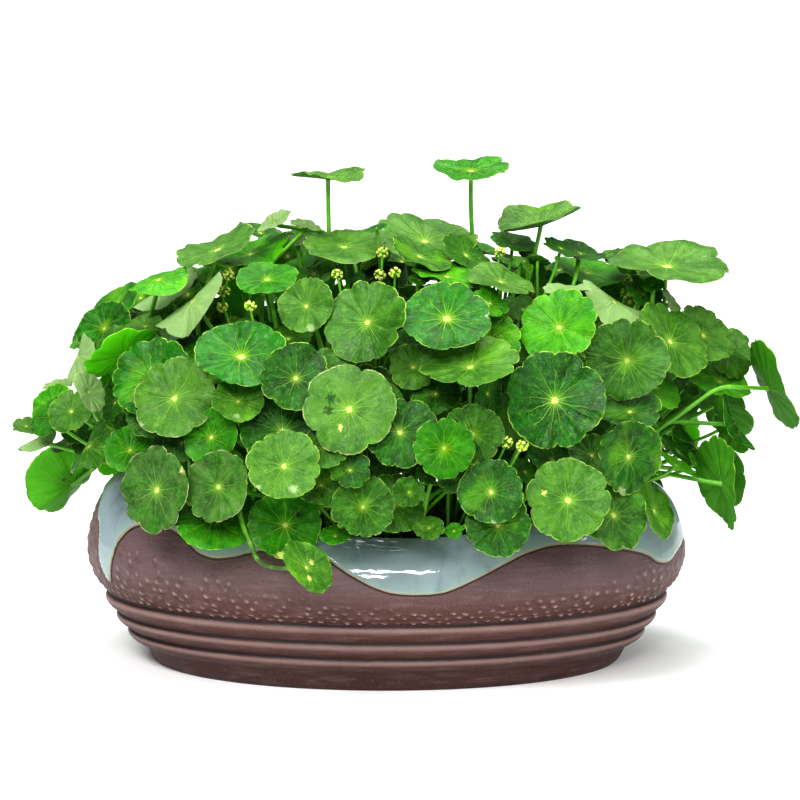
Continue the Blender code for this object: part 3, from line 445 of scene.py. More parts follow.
class Recipe:
    """A material's nodes, added one at a time and linked by name."""

    def __init__(self, name):
        self.material = bpy.data.materials.new(name)
        self.material.use_nodes = True
        self.tree = self.material.node_tree
        self.shader = self.tree.nodes["Principled BSDF"]

    def node(self, kind, settings=None, **inputs):
        """Adds a node. Inputs go by socket name, or by number as _0, _1 and so on."""
        node = self.tree.nodes.new("ShaderNode" + kind)
        for key, value in (settings or {}).items():
            setattr(node, key, value)
        for key, value in inputs.items():
            self.feed(node, key, value)
        return node

    def feed(self, node, key, value):
        """Links a socket or a node's first output to an input, or writes a plain value there."""
        socket = node.inputs[int(key[1:])] if key[0] == "_" else node.inputs[key.replace("_", " ")]
        if isinstance(value, bpy.types.NodeSocket):
            self.tree.links.new(value, socket)
        elif isinstance(value, bpy.types.Node):
            self.tree.links.new(value.outputs[0], socket)
        else:
            socket.default_value = value

    def math(self, operation, *values):
        """The result of one sum on values or sockets."""
        settings = {"operation": operation}
        return self.node("Math", settings, **{"_%d" % i: v for i, v in enumerate(values)}).outputs[0]

    def ramp(self, value, low, high):
        """Rises smoothly from 0 at low to 1 at high, or falls where low is above high."""
        settings = {"interpolation_type": "SMOOTHSTEP"}
        low, high, start, end = (low, high, 0.0, 1.0) if low < high else (high, low, 1.0, 0.0)
        return self.node("MapRange", settings, Value=value, From_Min=low, From_Max=high,
                         To_Min=start, To_Max=end).outputs[0]

    def blend(self, share, first, second):
        """From the first colour to the second by a share of 0 to 1."""
        node = self.tree.nodes.new("ShaderNodeMix")
        node.data_type = "RGBA"
        self.feed(node, "_0", share)
        for place, colour in ((6, first), (7, second)):
            self.feed(node, "_%d" % place, (*colour, 1.0) if isinstance(colour, tuple) else colour)
        return node.outputs[2]

    def value_of(self, name):
        """A value that was stored on the mesh with add_values."""
        return self.node("Attribute", {"attribute_name": name})

    def noise(self, place, scale, detail=3.0, roughness=0.5):
        """Cloudy noise, 0 to 1, at a place."""
        return self.node("TexNoise", None, Vector=place, Scale=scale, Detail=detail,
                         Roughness=roughness).outputs["Fac"]

    def place(self):
        """The place on the piece, in metres."""
        return self.node("TexCoord").outputs["Object"]

    def bump(self, height, distance, strength=1.0):
        """The facing of a surface with this relief."""
        return self.node("Bump", None, Height=height, Distance=distance, Strength=strength).outputs[0]

    def finish(self, **sockets):
        """Feeds the shader's own sockets and gives the material."""
        for key, value in sockets.items():
            if isinstance(value, tuple) and len(value) == 3:
                value = (*value, 1.0)
            self.feed(self.shader, key, value)
        return self.material


def bowl_material():
    """Bare purple-brown clay, and above the glaze's edge a glossy grey-green glaze."""
    r = Recipe("bowl_clay_and_glaze")
    place = r.place()
    edge = r.value_of("glaze_depth").outputs["Fac"]
    grain = r.value_of("grain").outputs["Fac"]
    dent_and_shadow = r.value_of("grain_dent_and_shadow").outputs["Fac"]
    band = r.value_of("band_painted_highlight_and_shade").outputs["Fac"]
    height = r.node("SeparateXYZ", None, Vector=place).outputs[2]
    ragged = r.math("ADD", edge, r.math("MULTIPLY", r.math("SUBTRACT", r.noise(place, 190), 0.5), 0.5))
    glazed = r.ramp(ragged, -0.10, 0.14)

    fired = r.blend(r.noise(place, 22, 5), shade(82, 62, 64), shade(108, 86, 88))
    fired = r.blend(r.ramp(height, 0.060, 0.043), fired, shade(80, 49, 42))
    fired = r.blend(r.ramp(height, 0.024, 0.004), fired, shade(68, 40, 36))
    brushed = r.node("Mapping", None, Vector=place, Scale=(1.0, 1.0, 7.0))
    fired = r.blend(r.math("MULTIPLY", r.ramp(r.noise(brushed, 60, 5), 0.45, 0.75), 0.35), fired,
                    shade(122, 98, 96))
    fired = r.blend(r.math("MULTIPLY", r.ramp(r.noise(place, 1000, 2), 0.60, 0.74), 0.40), fired,
                    shade(142, 118, 112))
    fired = r.blend(r.math("MULTIPLY", r.ramp(r.noise(place, 800, 2), 0.38, 0.28), 0.45), fired,
                    shade(50, 32, 30))
    # Painted highlight on each band's upper shoulder, and painted shade in the crease at its top
    fired = r.blend(r.math("MULTIPLY", band, 0.60), fired, shade(146, 124, 120))
    fired = r.blend(r.ramp(band, -0.15, -0.9), fired, shade(30, 18, 17))
    # Painted shadow under each grain, in its shallow dent
    fired = r.blend(r.math("MULTIPLY", dent_and_shadow, 0.80), fired, shade(56, 32, 27))
    # Painted highlight on each grain's top
    fired = r.blend(r.math("MULTIPLY", r.ramp(grain, 0.22, 0.90), 0.80), fired, shade(164, 138, 131))

    celadon = r.blend(r.noise(place, 15, 3), shade(122, 138, 140), shade(146, 158, 163))
    celadon = r.blend(r.ramp(height, 0.066, 0.088), celadon, shade(142, 154, 160))
    celadon = r.blend(r.ramp(edge, 9.0, 0.8), celadon, shade(136, 154, 151))
    streaks = r.node("Mapping", None, Vector=place, Scale=(1.0, 1.0, 0.12))
    celadon = r.blend(r.math("MULTIPLY", r.ramp(r.noise(streaks, 130, 4), 0.50, 0.78), 0.35), celadon,
                      shade(78, 102, 98))
    celadon = r.blend(r.math("MULTIPLY", r.ramp(r.noise(place, 700, 2), 0.62, 0.72), 0.3), celadon,
                      shade(160, 172, 166))
    celadon = r.blend(r.ramp(edge, 1.35, 0.80), celadon, shade(142, 128, 102))
    # A thin dark line where the glaze ends: partly the edge's own dark brown, partly painted shade in the
    # glaze's step
    line = r.math("MULTIPLY", r.ramp(ragged, -0.60, -0.25), r.ramp(ragged, 0.62, 0.30))

    colour = r.blend(glazed, fired, celadon)
    colour = r.blend(line, colour, shade(46, 30, 24))
    rough = r.math("ADD", 0.40, r.math("MULTIPLY", r.noise(place, 240, 3), 0.22))
    rough = r.math("SUBTRACT", rough, r.math("MULTIPLY", glazed, r.math("SUBTRACT", rough, 0.06)))
    grit = r.math("ADD", r.noise(place, 1100, 3), r.math("MULTIPLY", r.noise(brushed, 170, 3), 1.2))
    grit = r.math("MULTIPLY", grit, r.math("SUBTRACT", 1.0, glazed))
    wavy = r.math("ADD", r.math("MULTIPLY", r.noise(place, 24, 2), 5.0),
                  r.math("MULTIPLY", r.noise(place, 85, 2), 1.5))
    bump = r.bump(r.math("ADD", grit, r.math("MULTIPLY", wavy, glazed)), 0.00034, 0.55)
    return r.finish(Base_Color=colour, Roughness=rough, Normal=bump, Specular_IOR_Level=0.5)


def soil_material():
    """Dark wet crumbs with a few mossy patches."""
    r = Recipe("wet_dark_soil")
    place = r.place()
    crumbs = r.noise(place, 210, 6, 0.65)
    colour = r.blend(r.ramp(crumbs, 0.38, 0.66), shade(28, 20, 16), shade(78, 58, 46))
    colour = r.blend(r.ramp(r.noise(place, 45, 3), 0.52, 0.66), colour, shade(38, 48, 24))
    rough = r.math("ADD", 0.38, r.math("MULTIPLY", r.noise(place, 90, 3), 0.45))
    bump = r.bump(r.math("ADD", crumbs, r.noise(place, 700, 4)), 0.0016, 0.8)
    return r.finish(Base_Color=colour, Roughness=rough, Normal=bump)


def leaf_values(r):
    """What the steps of the leaf's material share: the leaf's round coordinates (x, y, the way out,
    and 1 on the underside), the same shifted by its chance so that no two leaves are alike, rays
    from its middle, and its tone with its grey bloom and painted grey sheen, its painted whitish
    sheen and its clear yellow-green."""
    spot = r.value_of("leaf_place").outputs["Vector"]
    look = r.node("SeparateXYZ", None, Vector=r.value_of("leaf_look").outputs["Vector"])
    leaf = SimpleNamespace(tone=look.outputs[0], chance=look.outputs[2])
    leaf.grey = r.ramp(look.outputs[1], 0.0, 1.0)
    leaf.white = r.ramp(look.outputs[1], 1.0, 1.5)
    leaf.clear = r.ramp(look.outputs[1], 0.0, -1.0)
    parts = r.node("SeparateXYZ", None, Vector=spot)
    leaf.x, leaf.y, leaf.under = parts.outputs[0], parts.outputs[1], parts.outputs[2]
    leaf.flat = r.node("CombineXYZ", None, X=leaf.x, Y=leaf.y)
    leaf.out = r.node("VectorMath", {"operation": "LENGTH"}, _0=leaf.flat).outputs[1]
    shift = r.math("MULTIPLY", leaf.chance, 40.0)
    leaf.own = r.node("CombineXYZ", None, X=leaf.x, Y=leaf.y, Z=shift)
    ray = r.node("VectorMath", {"operation": "NORMALIZE"}, _0=leaf.flat).outputs[0]
    ray = r.node("SeparateXYZ", None, Vector=ray)
    leaf.ray = r.node("CombineXYZ", None, X=r.math("MULTIPLY", ray.outputs[0], 5.0),
                      Y=r.math("MULTIPLY", ray.outputs[1], 5.0),
                      Z=r.math("ADD", shift, r.math("MULTIPLY", leaf.out, 1.3)))
    return leaf


def leaf_veins(r, leaf):
    """The veins, one of which runs out along each lobe and forks, with short rays between them at
    the middle, and the fine net between the veins."""
    sway = r.math("MULTIPLY", r.math("SUBTRACT", r.noise(leaf.own, 2.6, 2), 0.5), 0.7)
    turn = r.math("ADD", r.math("ARCTAN2", leaf.y, leaf.x), r.math("MULTIPLY", sway, leaf.out))
    lobes = r.math("ADD", 9.0, r.math("FLOOR", r.math("MULTIPLY", r.math("FRACT", r.math(
        "MULTIPLY", leaf.chance, 7.3)), 5.0)))
    sector = r.math("MULTIPLY", turn, r.math("DIVIDE", lobes, 2 * math.pi))
    number = r.math("FLOOR", sector)
    aside = r.math("ABSOLUTE", r.math("SUBTRACT", r.math("SUBTRACT", sector, number), 0.5))
    width = r.math("MULTIPLY", leaf.out, r.math("DIVIDE", 2 * math.pi, lobes))
    luck = r.node("TexWhiteNoise", {"noise_dimensions": "2D"},
                  Vector=r.node("CombineXYZ", None, X=number, Y=leaf.chance)).outputs[0]
    reach = r.math("ADD", 0.32, r.math("MULTIPLY", luck, 0.48))
    main_half = r.math("MULTIPLY", r.math("SUBTRACT", 1.12, leaf.out), 0.0145)
    main = r.ramp(r.math("DIVIDE", r.math("MULTIPLY", aside, width), main_half), 1.0, 0.25)
    main = r.math("MULTIPLY", main, r.ramp(r.math("SUBTRACT", leaf.out, reach), 0.30, -0.30))
    between = r.math("MULTIPLY", r.math("SUBTRACT", 0.5, aside), width)
    short = r.ramp(r.math("DIVIDE", between, 0.0085), 1.0, 0.25)
    short = r.math("MULTIPLY", short, r.ramp(r.math("SUBTRACT", leaf.out, luck), 0.0, -0.45))
    short = r.math("MULTIPLY", short, r.ramp(leaf.out, 0.45, 0.15))
    fork_start = r.math("ADD", 0.36, r.math("MULTIPLY", luck, 0.18))
    fork_at = r.math("MULTIPLY", r.math("MAXIMUM", r.math("SUBTRACT", leaf.out, fork_start), 0.0), 0.42)
    fork = r.math("MULTIPLY", r.math("ABSOLUTE", r.math("SUBTRACT", aside, fork_at)), width)
    fork_half = r.math("MULTIPLY", r.math("SUBTRACT", 1.25, leaf.out), 0.0095)
    fork = r.ramp(r.math("DIVIDE", fork, fork_half), 1.0, 0.25)
    fork = r.math("MULTIPLY", fork, r.ramp(r.math("SUBTRACT", leaf.out, fork_start), 0.0, 0.08))
    fork = r.math("MULTIPLY", fork, r.ramp(leaf.out, 1.0, 0.55))
    veins = r.math("MAXIMUM", r.math("MAXIMUM", main, short), r.math("MULTIPLY", fork, 0.50))
    net = r.node("TexVoronoi", {"feature": "DISTANCE_TO_EDGE"}, Vector=leaf.own, Scale=12.0).outputs[0]
    return veins, r.ramp(net, 0.045, 0.0)


def leaf_top_colour(r, leaf, veins, net):
    """The upper side's green, from the leaf's tone, with mottling, rays, grey bloom with a painted grey
    sheen, a painted whitish sheen, specks and veins, a pale star at the middle and a thin, frayed pale rim."""
    dark = r.blend(leaf.tone, shade(5, 46, 1), shade(42, 92, 20))
    lit = r.blend(leaf.tone, shade(20, 94, 2), shade(86, 130, 42))
    dark = r.blend(leaf.clear, dark, r.blend(leaf.tone, shade(6, 66, 0), shade(44, 132, 0)))
    lit = r.blend(leaf.clear, lit, r.blend(leaf.tone, shade(26, 112, 0), shade(92, 172, 2)))
    body = r.blend(r.ramp(r.noise(leaf.own, 1.7, 4, 0.6), 0.32, 0.68), dark, lit)
    light_rays = r.ramp(r.noise(leaf.ray, 1.0, 5, 0.65), 0.44, 0.66)
    body = r.blend(r.math("MULTIPLY", light_rays, 0.42), body, lit)
    dark_rays = r.ramp(r.noise(leaf.ray, 1.7, 4, 0.6), 0.50, 0.34)
    body = r.blend(r.math("MULTIPLY", dark_rays, 0.40), body, dark)
    yellow = r.math("MULTIPLY", r.ramp(r.noise(leaf.own, 0.9, 2), 0.52, 0.66),
                    r.ramp(leaf.chance, 0.35, 0.9))
    body = r.blend(r.math("MULTIPLY", yellow, 0.40), body, shade(116, 176, 20))
    mottle = r.noise(leaf.own, 8.0, 5, 0.78)
    body = r.blend(r.math("MULTIPLY", r.ramp(mottle, 0.51, 0.66), 0.48), body, r.blend(0.35, lit,
                   shade(140, 186, 84)))
    body = r.blend(r.math("MULTIPLY", r.ramp(mottle, 0.48, 0.33), 0.60), body, dark)
    # Grey bloom, partly the leaf's own and partly a painted grey sheen of reflected sky
    bloom = r.math("MULTIPLY", leaf.grey, r.ramp(r.noise(leaf.own, 3.1, 6, 0.75), 0.34, 0.70))
    body = r.blend(r.math("MULTIPLY", bloom, 0.50), body, shade(104, 134, 72))
    # Painted whitish sheen of light from behind the leaf
    body = r.blend(r.math("MULTIPLY", leaf.white, 0.62), body, shade(150, 176, 122))
    fleck = r.ramp(r.noise(leaf.own, 10.0, 5, 0.75), 0.58, 0.74)
    body = r.blend(r.math("MULTIPLY", fleck, 0.34), body, shade(126, 174, 76))
    dust = r.math("MULTIPLY", r.ramp(r.noise(leaf.own, 30.0, 3, 0.7), 0.58, 0.72),
                  r.math("ADD", 0.10, r.math("MULTIPLY", leaf.grey, 0.35)))
    body = r.blend(dust, body, shade(150, 184, 116))
    spots = r.ramp(r.noise(leaf.own, 5.2, 4, 0.65), 0.36, 0.25)
    body = r.blend(r.math("MULTIPLY", spots, 0.6), body, shade(14, 58, 8))
    body = r.blend(r.math("MULTIPLY", net, 0.20), body, shade(120, 184, 50))
    body = r.blend(r.math("MULTIPLY", veins, 0.55), body,
                   r.blend(leaf.clear, shade(146, 190, 84), shade(176, 216, 48)))
    glow = r.math("MULTIPLY", r.ramp(leaf.out, 0.26, 0.06), 0.36)
    body = r.blend(glow, body, shade(150, 196, 70))
    star = r.math("SUBTRACT", r.noise(leaf.ray, 1.6, 2), 0.5)
    star = r.math("ADD", leaf.out, r.math("MULTIPLY", star, 0.16))
    star = r.math("ADD", star, r.math("MULTIPLY", leaf.chance, 0.018))
    body = r.blend(r.ramp(star, 0.098, 0.042), body, shade(222, 230, 136))
    frayed = r.ramp(r.noise(leaf.own, 4.5, 2), 0.38, 0.60)
    rim = r.math("MULTIPLY", r.ramp(leaf.out, 0.966, 0.990), r.math("MULTIPLY", frayed, 0.75))
    return r.blend(rim, body, r.blend(leaf.grey, shade(178, 210, 84), shade(196, 186, 150)))


def leaf_underside_colour(r, leaf, veins):
    """The underside's paler, plainer green, partly its own and partly painted light shining through the
    blade.
    """
    below = r.blend(r.noise(leaf.own, 2.0, 3), shade(56, 118, 26), shade(92, 158, 44))
    # Painted light shining through the blade of clear leaves
    below = r.blend(r.math("MULTIPLY", leaf.clear, 0.8), below, shade(96, 206, 8))
    # Grey bloom with a painted grey sheen
    below = r.blend(r.math("MULTIPLY", leaf.grey, 0.5), below, shade(128, 150, 116))
    return r.blend(r.math("MULTIPLY", veins, 0.45), below, shade(150, 196, 98))


def leaf_dots(r, leaf):
    """A few small, slightly raised pale dots, 0 to 1."""
    cells = r.node("TexVoronoi", {"feature": "F1"}, Vector=leaf.own, Scale=7.5)
    dots = r.ramp(cells.outputs["Distance"], 0.085, 0.05)
    rare = r.node("SeparateColor", None, Color=cells.outputs["Color"]).outputs[0]
    return r.math("MULTIPLY", dots, r.math("GREATER_THAN", rare, 0.88))


def with_leaf_marks(r, leaf, colour):
    """The colour with the leaf's own ragged marks: by kind a blotch, a hole painted as near-black shade,
    yellow, or a graze, which on some glossy tips is a painted glint.
    """
    ragged = r.math("MULTIPLY", r.math("SUBTRACT", r.noise(leaf.own, 17.0, 3, 0.7), 0.5), 0.34)
    for number in (1, 2, 3):
        mark = r.node("SeparateXYZ", None, Vector=r.value_of("leaf_mark_%d" % number).outputs["Vector"])
        middle = r.node("CombineXYZ", None, X=mark.outputs[0], Y=mark.outputs[1])
        away = r.node("VectorMath", {"operation": "DISTANCE"}, _0=leaf.flat, _1=middle).outputs[1]
        kind = r.math("FLOOR", mark.outputs[2])
        size = r.math("SUBTRACT", mark.outputs[2], kind)
        away = r.math("SUBTRACT", r.math("DIVIDE", r.math("ADD", away, ragged), size), 1.0)
        # Kind 1, the hole, is painted near-black, the shade seen through it
        stain = r.blend(r.ramp(kind, 0.4, 0.6), shade(22, 66, 12), shade(14, 16, 8))
        stain = r.blend(r.ramp(kind, 1.4, 1.6), stain, shade(206, 206, 120))
        # Kind 3, a pale graze, is on some glossy tips a painted glint
        stain = r.blend(r.ramp(kind, 2.4, 2.6), stain, shade(168, 180, 138))
        there = r.math("MULTIPLY", r.ramp(away, 0.15, -0.45), r.math("GREATER_THAN", size, 0.001))
        faint = r.ramp(kind, 2.6, 1.4)
        share = r.math("MULTIPLY", there, r.math("ADD", 0.55, r.math("MULTIPLY", faint, 0.30)))
        colour = r.blend(share, colour, stain)
    return colour


def leaf_surface(r, leaf, veins, net, dots):
    """The leaf's roughness and relief. A wet leaf is far smoother in patches and catches light there."""
    rough = r.math("ADD", 0.20, r.math("MULTIPLY", r.noise(leaf.own, 4.0, 4), 0.24))
    rough = r.math("ADD", rough, r.math("MULTIPLY", leaf.grey, 0.10))
    rough = r.math("ADD", rough, r.math("MULTIPLY", leaf.under, 0.25))
    wet = r.math("MULTIPLY", r.ramp(leaf.chance, 0.84, 0.88),
                 r.ramp(r.noise(leaf.own, 1.5, 2), 0.36, 0.56))
    rough = r.math("MULTIPLY", rough, r.math("SUBTRACT", 1.0, r.math("MULTIPLY", wet, 0.80)))
    relief = r.math("ADD", r.math("MULTIPLY", veins, -0.8), r.math("MULTIPLY", net, -0.25))
    relief = r.math("ADD", relief, r.math("MULTIPLY", r.noise(leaf.ray, 1.2, 3), 2.6))
    relief = r.math("ADD", relief, r.math("MULTIPLY", r.noise(leaf.own, 14.0, 3), 0.8))
    relief = r.math("ADD", relief, dots)
    wet_relief = r.math("MULTIPLY", r.noise(leaf.ray, 3.0, 3), 5.0)
    relief = r.math("ADD", relief, r.math("MULTIPLY", wet, wet_relief))
    return rough, r.bump(relief, 0.00036, 0.9)


def leaf_material():
    """A glossy green blade with a pale middle, forking veins and a thin pale rim. It reads each
    leaf's own round coordinates and its tone."""
    r = Recipe("pennywort_leaf")
    leaf = leaf_values(r)
    veins, net = leaf_veins(r, leaf)
    top = leaf_top_colour(r, leaf, veins, net)
    colour = r.blend(leaf.under, top, leaf_underside_colour(r, leaf, veins))
    dots = leaf_dots(r, leaf)
    colour = r.blend(r.math("MULTIPLY", dots, 0.60), colour, shade(206, 222, 196))
    colour = with_leaf_marks(r, leaf, colour)
    rough, bump = leaf_surface(r, leaf, veins, net, dots)
    return r.finish(Base_Color=colour, Roughness=rough, Normal=bump, Specular_IOR_Level=0.25)


def stalk_material():
    """Pale green stalks that turn darker and browner near the soil."""
    r = Recipe("pale_green_stalk")
    place = r.place()
    height = r.node("SeparateXYZ", None, Vector=place).outputs[2]
    colour = r.blend(r.noise(place, 40, 3), shade(54, 124, 12), shade(114, 182, 42))
    colour = r.blend(r.ramp(height, 0.100, 0.072), colour, shade(58, 84, 24))
    colour = r.blend(r.math("MULTIPLY", r.ramp(r.noise(place, 160, 3), 0.45, 0.70), 0.35), colour,
                     shade(140, 196, 76))
    rough = r.math("ADD", 0.28, r.math("MULTIPLY", r.noise(place, 150, 2), 0.2))
    bump = r.bump(r.noise(place, 800, 2), 0.0002, 0.5)
    return r.finish(Base_Color=colour, Roughness=rough, Normal=bump)


def flower_material():
    """Yellow-green to cream petals."""
    r = Recipe("yellow_green_flower")
    place = r.place()
    colour = r.blend(r.ramp(r.noise(place, 420, 3), 0.38, 0.62), shade(158, 190, 56),
                     shade(232, 232, 132))
    rough = r.math("ADD", 0.42, r.math("MULTIPLY", r.noise(place, 300, 2), 0.2))
    return r.finish(Base_Color=colour, Roughness=rough, Normal=r.bump(r.noise(place, 1500, 2), 0.0003))


# The bowl and its soil


def spline(points, spacing):
    """Evenly spaced points along a smooth curve through the given ones."""
    points = np.array(points, float)
    ends = np.vstack([2 * points[0] - points[1], points, 2 * points[-1] - points[-2]])
    fine = []
    for before, start, end, after in zip(ends, ends[1:], ends[2:], ends[3:]):
        for share in np.linspace(0, 1, 60, endpoint=False):
            cubic = share**3 * (3 * start - before - 3 * end + after)
            square = share**2 * (2 * before - 5 * start + 4 * end - after)
            fine.append(0.5 * (cubic + square + share * (end - before)) + start)
    fine.append(points[-1])
    fine = np.array(fine)
    length = np.concatenate([[0], np.cumsum(np.linalg.norm(np.diff(fine, axis=0), axis=1))])
    places = np.linspace(0, length[-1], max(int(round(length[-1] / spacing)), 2) + 1)
    return np.column_stack([np.interp(places, length, fine[:, axis]) for axis in range(fine.shape[1])])


def arc_through(points, count):
    """A rounded band through three points."""
    start, crest, end = (np.array(point) for point in points)
    rows = []
    for share in np.linspace(0, 1, count + 1):
        rows.append(start * (1 - share) * (1 - 2 * share) + crest * 4 * share * (1 - share)
                    + end * share * (2 * share - 1))
    return np.array(rows)


def bowl_profile():
    """The section's points, and for each its way down from the lip and its painted light on the bands:
    shade in the crease at each band's top, a highlight on the shoulder below.
    """
    inside = spline(INSIDE[1:], INSIDE_SPACING)
    belly = spline(LIP_AND_BELLY, BELLY_SPACING)
    bands = [arc_through(band, BAND_STEPS) for band in BANDS]
    foot = spline(FOOT, FOOT_SPACING)
    rows = [np.array([INSIDE[0]]), inside, belly[1:]] + [band[1:] for band in bands] + [foot[1:]]
    rows.append(np.array(UNDERSIDE))
    points = np.vstack(rows)
    way = np.concatenate([[0], np.cumsum(np.linalg.norm(np.diff(points, axis=0), axis=1))])
    lip = 1 + len(inside)
    crease = lip + len(belly) - 1
    # Painted light on the bands: shade in the crease at each band's top, a highlight on its shoulder below
    light = np.zeros(len(points))
    for number in range(len(BANDS)):
        first = crease + BAND_STEPS * number
        light[first - 1:first + 1] -= 0.8
        light[first + 1:first + 4] += (0.7, 1.0, 0.5)
    return points, way - way[lip], light, way[crease - 1] - way[lip]


def squeezed_way(angles):
    """How far round the oval each angle is, in metres at the belly."""
    fine = np.linspace(-math.pi, math.pi, 2881)
    steps = np.hypot(np.sin(fine), DEPTH_TO_WIDTH * np.cos(fine)) * BELLY_HALF_WIDTH
    way = np.concatenate([[0], np.cumsum((steps[1:] + steps[:-1]) / 2 * np.diff(fine))])
    return np.interp(angles, fine, way), way[-1]


def grain_heights(angles, round_way, full_way, up):
    """Height, 0 to 1, of the pressed grains at places round the bowl and up from the top band, and the
    depth of a shallow dent under each, which also sets a painted shadow there. They fade upwards and
    towards the bowl's middle."""
    count = int(full_way / GRAIN_SPACING)
    spacing = full_way / count
    rng = np.random.default_rng(5)
    total = np.zeros_like(up)
    dent_and_shadow = np.zeros_like(up)
    reach = along_round(angles, GRAIN_REACH)
    for row in range(GRAIN_ROWS):
        height = rng.uniform(0.70, 1.1, count + 2) * (1 - 0.06 * row)
        height[rng.random(count + 2) < 0.03 + 0.05 * row] = 0
        shift = rng.uniform(-0.20, 0.20, count + 2) * spacing
        rise = rng.uniform(-0.24, 0.24, count + 2) * GRAIN_ROW_STEP
        column = round_way / spacing + 0.5 * (row % 2)
        number = np.floor(column).astype(int) % count
        aside = (column - np.floor(column) - 0.5) * spacing - shift[number]
        above = up - GRAIN_FIRST_ROW - row * GRAIN_ROW_STEP - rise[number] + 0.30 * aside
        strength = height[number] * smooth_step(1.0 + (reach - row) * 0.42)
        shape = np.exp(-((aside / GRAIN_HALF_LENGTH) ** 2 + (above / GRAIN_HALF_WIDTH) ** 2))
        # A painted shadow just below each grain, which also sets the depth of its shallow dent
        below = (above + 1.5 * GRAIN_HALF_WIDTH) / (1.2 * GRAIN_HALF_WIDTH)
        dark = np.exp(-((aside / (1.3 * GRAIN_HALF_LENGTH)) ** 2 + below**2))
        total = np.maximum(total, shape * strength)
        dent_and_shadow = np.maximum(dent_and_shadow, dark * strength)
    return total, dent_and_shadow * (1 - total)


def raised_ends(x_share, height):
    """A height on the bowl with its rim raised towards the ends, for a share of the way to the right."""
    rise = smooth_step((height - LIFT_START) / (RIM_FRONT - LIFT_START))
    return height + rise * (RIM_END_LIFT * x_share**2 - SIDE_LEAN * x_share)


def turned_section(profile):
    """The section turned about the upright axis, with each corner's number along the section."""
    mesh = bpy.data.meshes.new("bowl")
    rows = [(radius, 0.0, height) for radius, height in profile]
    mesh.from_pydata(rows, [(row, row + 1) for row in range(len(rows) - 1)], [])
    bowl = bpy.data.objects.new("bowl", mesh)
    bpy.context.scene.collection.objects.link(bowl)
    add_values(mesh, "row", np.arange(len(rows), dtype=float))
    select_only(bowl)
    bpy.ops.object.mode_set(mode="EDIT")
    bpy.ops.mesh.select_all(action="SELECT")
    bpy.ops.mesh.spin(steps=BOWL_STEPS, angle=2 * math.pi, center=(0, 0, 0), axis=(0, 0, 1))
    bpy.ops.mesh.select_all(action="SELECT")
    bpy.ops.mesh.remove_doubles(threshold=0.00005)
    bpy.ops.mesh.normals_make_consistent(inside=False)
    bpy.ops.object.mode_set(mode="OBJECT")

    row = np.empty(len(mesh.vertices), np.float32)
    mesh.attributes["row"].data.foreach_get("value", row)
    mesh.attributes.remove(mesh.attributes["row"])
    return bowl, np.clip(np.round(row).astype(int), 0, len(rows) - 1)


def depth_in_glaze(angles, down, profile, way, crease_way):
    """How far each place on the outside is from the glaze's edge, above 0 where it is glazed."""
    outer = np.where((way > 0) & (way < crease_way))[0]
    edge_way = np.interp(-along_round(angles, GLAZE_EDGE), -profile[outer, 1], way[outer])
    fine = np.linspace(-math.pi, math.pi, 1441)
    fine_edge = np.interp(-along_round(fine, GLAZE_EDGE), -profile[outer, 1], way[outer])
    slope = np.interp(angles, fine, np.gradient(fine_edge, squeezed_way(fine)[0]))
    return (edge_way - down) / np.sqrt(1 + slope**2)


def build_bowl(material):
    """The bowl: an oval, turned from its section, with the glaze's thickness and the pressed grains."""
    profile, way, light, crease_way = bowl_profile()
    bowl, row = turned_section(profile)
    mesh = bowl.data
    points = points_of(mesh)
    angles = np.arctan2(points[:, 1], points[:, 0])
    normals = np.empty(len(mesh.vertices) * 3)
    mesh.vertices.foreach_get("normal", normals)
    normals = normals.reshape(-1, 3)

    outside = way[row] > 0
    down = way[row]
    round_way, full_way = squeezed_way(angles)
    depth = np.where(outside, depth_in_glaze(angles, down, profile, way, crease_way), 0.02)
    up = crease_way - down
    grains, dents_and_shadows = grain_heights(angles, round_way, full_way, up)
    bare = (up > 0) & outside & (depth < -GRAIN_CLEARANCE)
    grains *= bare
    dents_and_shadows *= bare
    thick = GLAZE_THICKNESS * smooth_step(depth / GLAZE_SWELL)
    thick *= np.where(outside, 1.0, 0.0)
    points += normals * (thick + grains * GRAIN_HEIGHT - dents_and_shadows * 0.25 * GRAIN_HEIGHT)[:, None]
    wobble = np.array([noise.noise(Vector((math.cos(a) * 2.2, math.sin(a) * 2.2, d * 30)))
                       for a, d in zip(angles, down)])
    points[:, 2] += 0.0006 * wobble * smooth_step((points[:, 2] - 0.05) / 0.03)
    radius = np.maximum(np.hypot(points[:, 0], points[:, 1]), 1e-9)
    points[:, 2] = raised_ends(points[:, 0] / radius * (radius > 1e-6), points[:, 2])
    points[:, 1] *= DEPTH_TO_WIDTH
    set_points(mesh, points)
    add_values(mesh, "glaze_depth", depth * 1000)
    add_values(mesh, "grain", grains)
    add_values(mesh, "grain_dent_and_shadow", dents_and_shadows)
    add_values(mesh, "band_painted_highlight_and_shade", light[row])
    select_only(bowl)
    bpy.ops.object.shade_smooth()
    mesh.materials.append(material)
    finish_piece(bowl, ["pot"])


def soil_wall():
    """Where the plain soil solid meets the bowl's wall, as rows of (degrees, half width)."""
    shape = merged_solid("soil")
    corners = np.array([vertex.co for vertex in shape.verts])
    shape.free()
    top = corners[corners[:, 2] > SOIL_WALL_HEIGHT]
    rim = top[np.hypot(top[:, 0], top[:, 1] / DEPTH_TO_WIDTH) > SOIL_WALL_RADIUS]
    rim_angle = np.degrees(np.arctan2(rim[:, 1] / DEPTH_TO_WIDTH, rim[:, 0]))
    order = np.argsort(rim_angle)
    table = list(zip(rim_angle[order], np.hypot(rim[:, 0], rim[:, 1] / DEPTH_TO_WIDTH)[order]))
    return [(table[-1][0] - 360, table[-1][1])] + table + [(table[0][0] + 360, table[0][1])]


def soil_top(x, y):
    """The soil's height, gently crowned, without its crumbs."""
    spread = (x / SOIL_SPREAD[0]) ** 2 + (y / SOIL_SPREAD[1]) ** 2
    return SOIL_EDGE_HEIGHT + SOIL_CROWN * (1 - min(spread / SOIL_CROWN_END, 1))


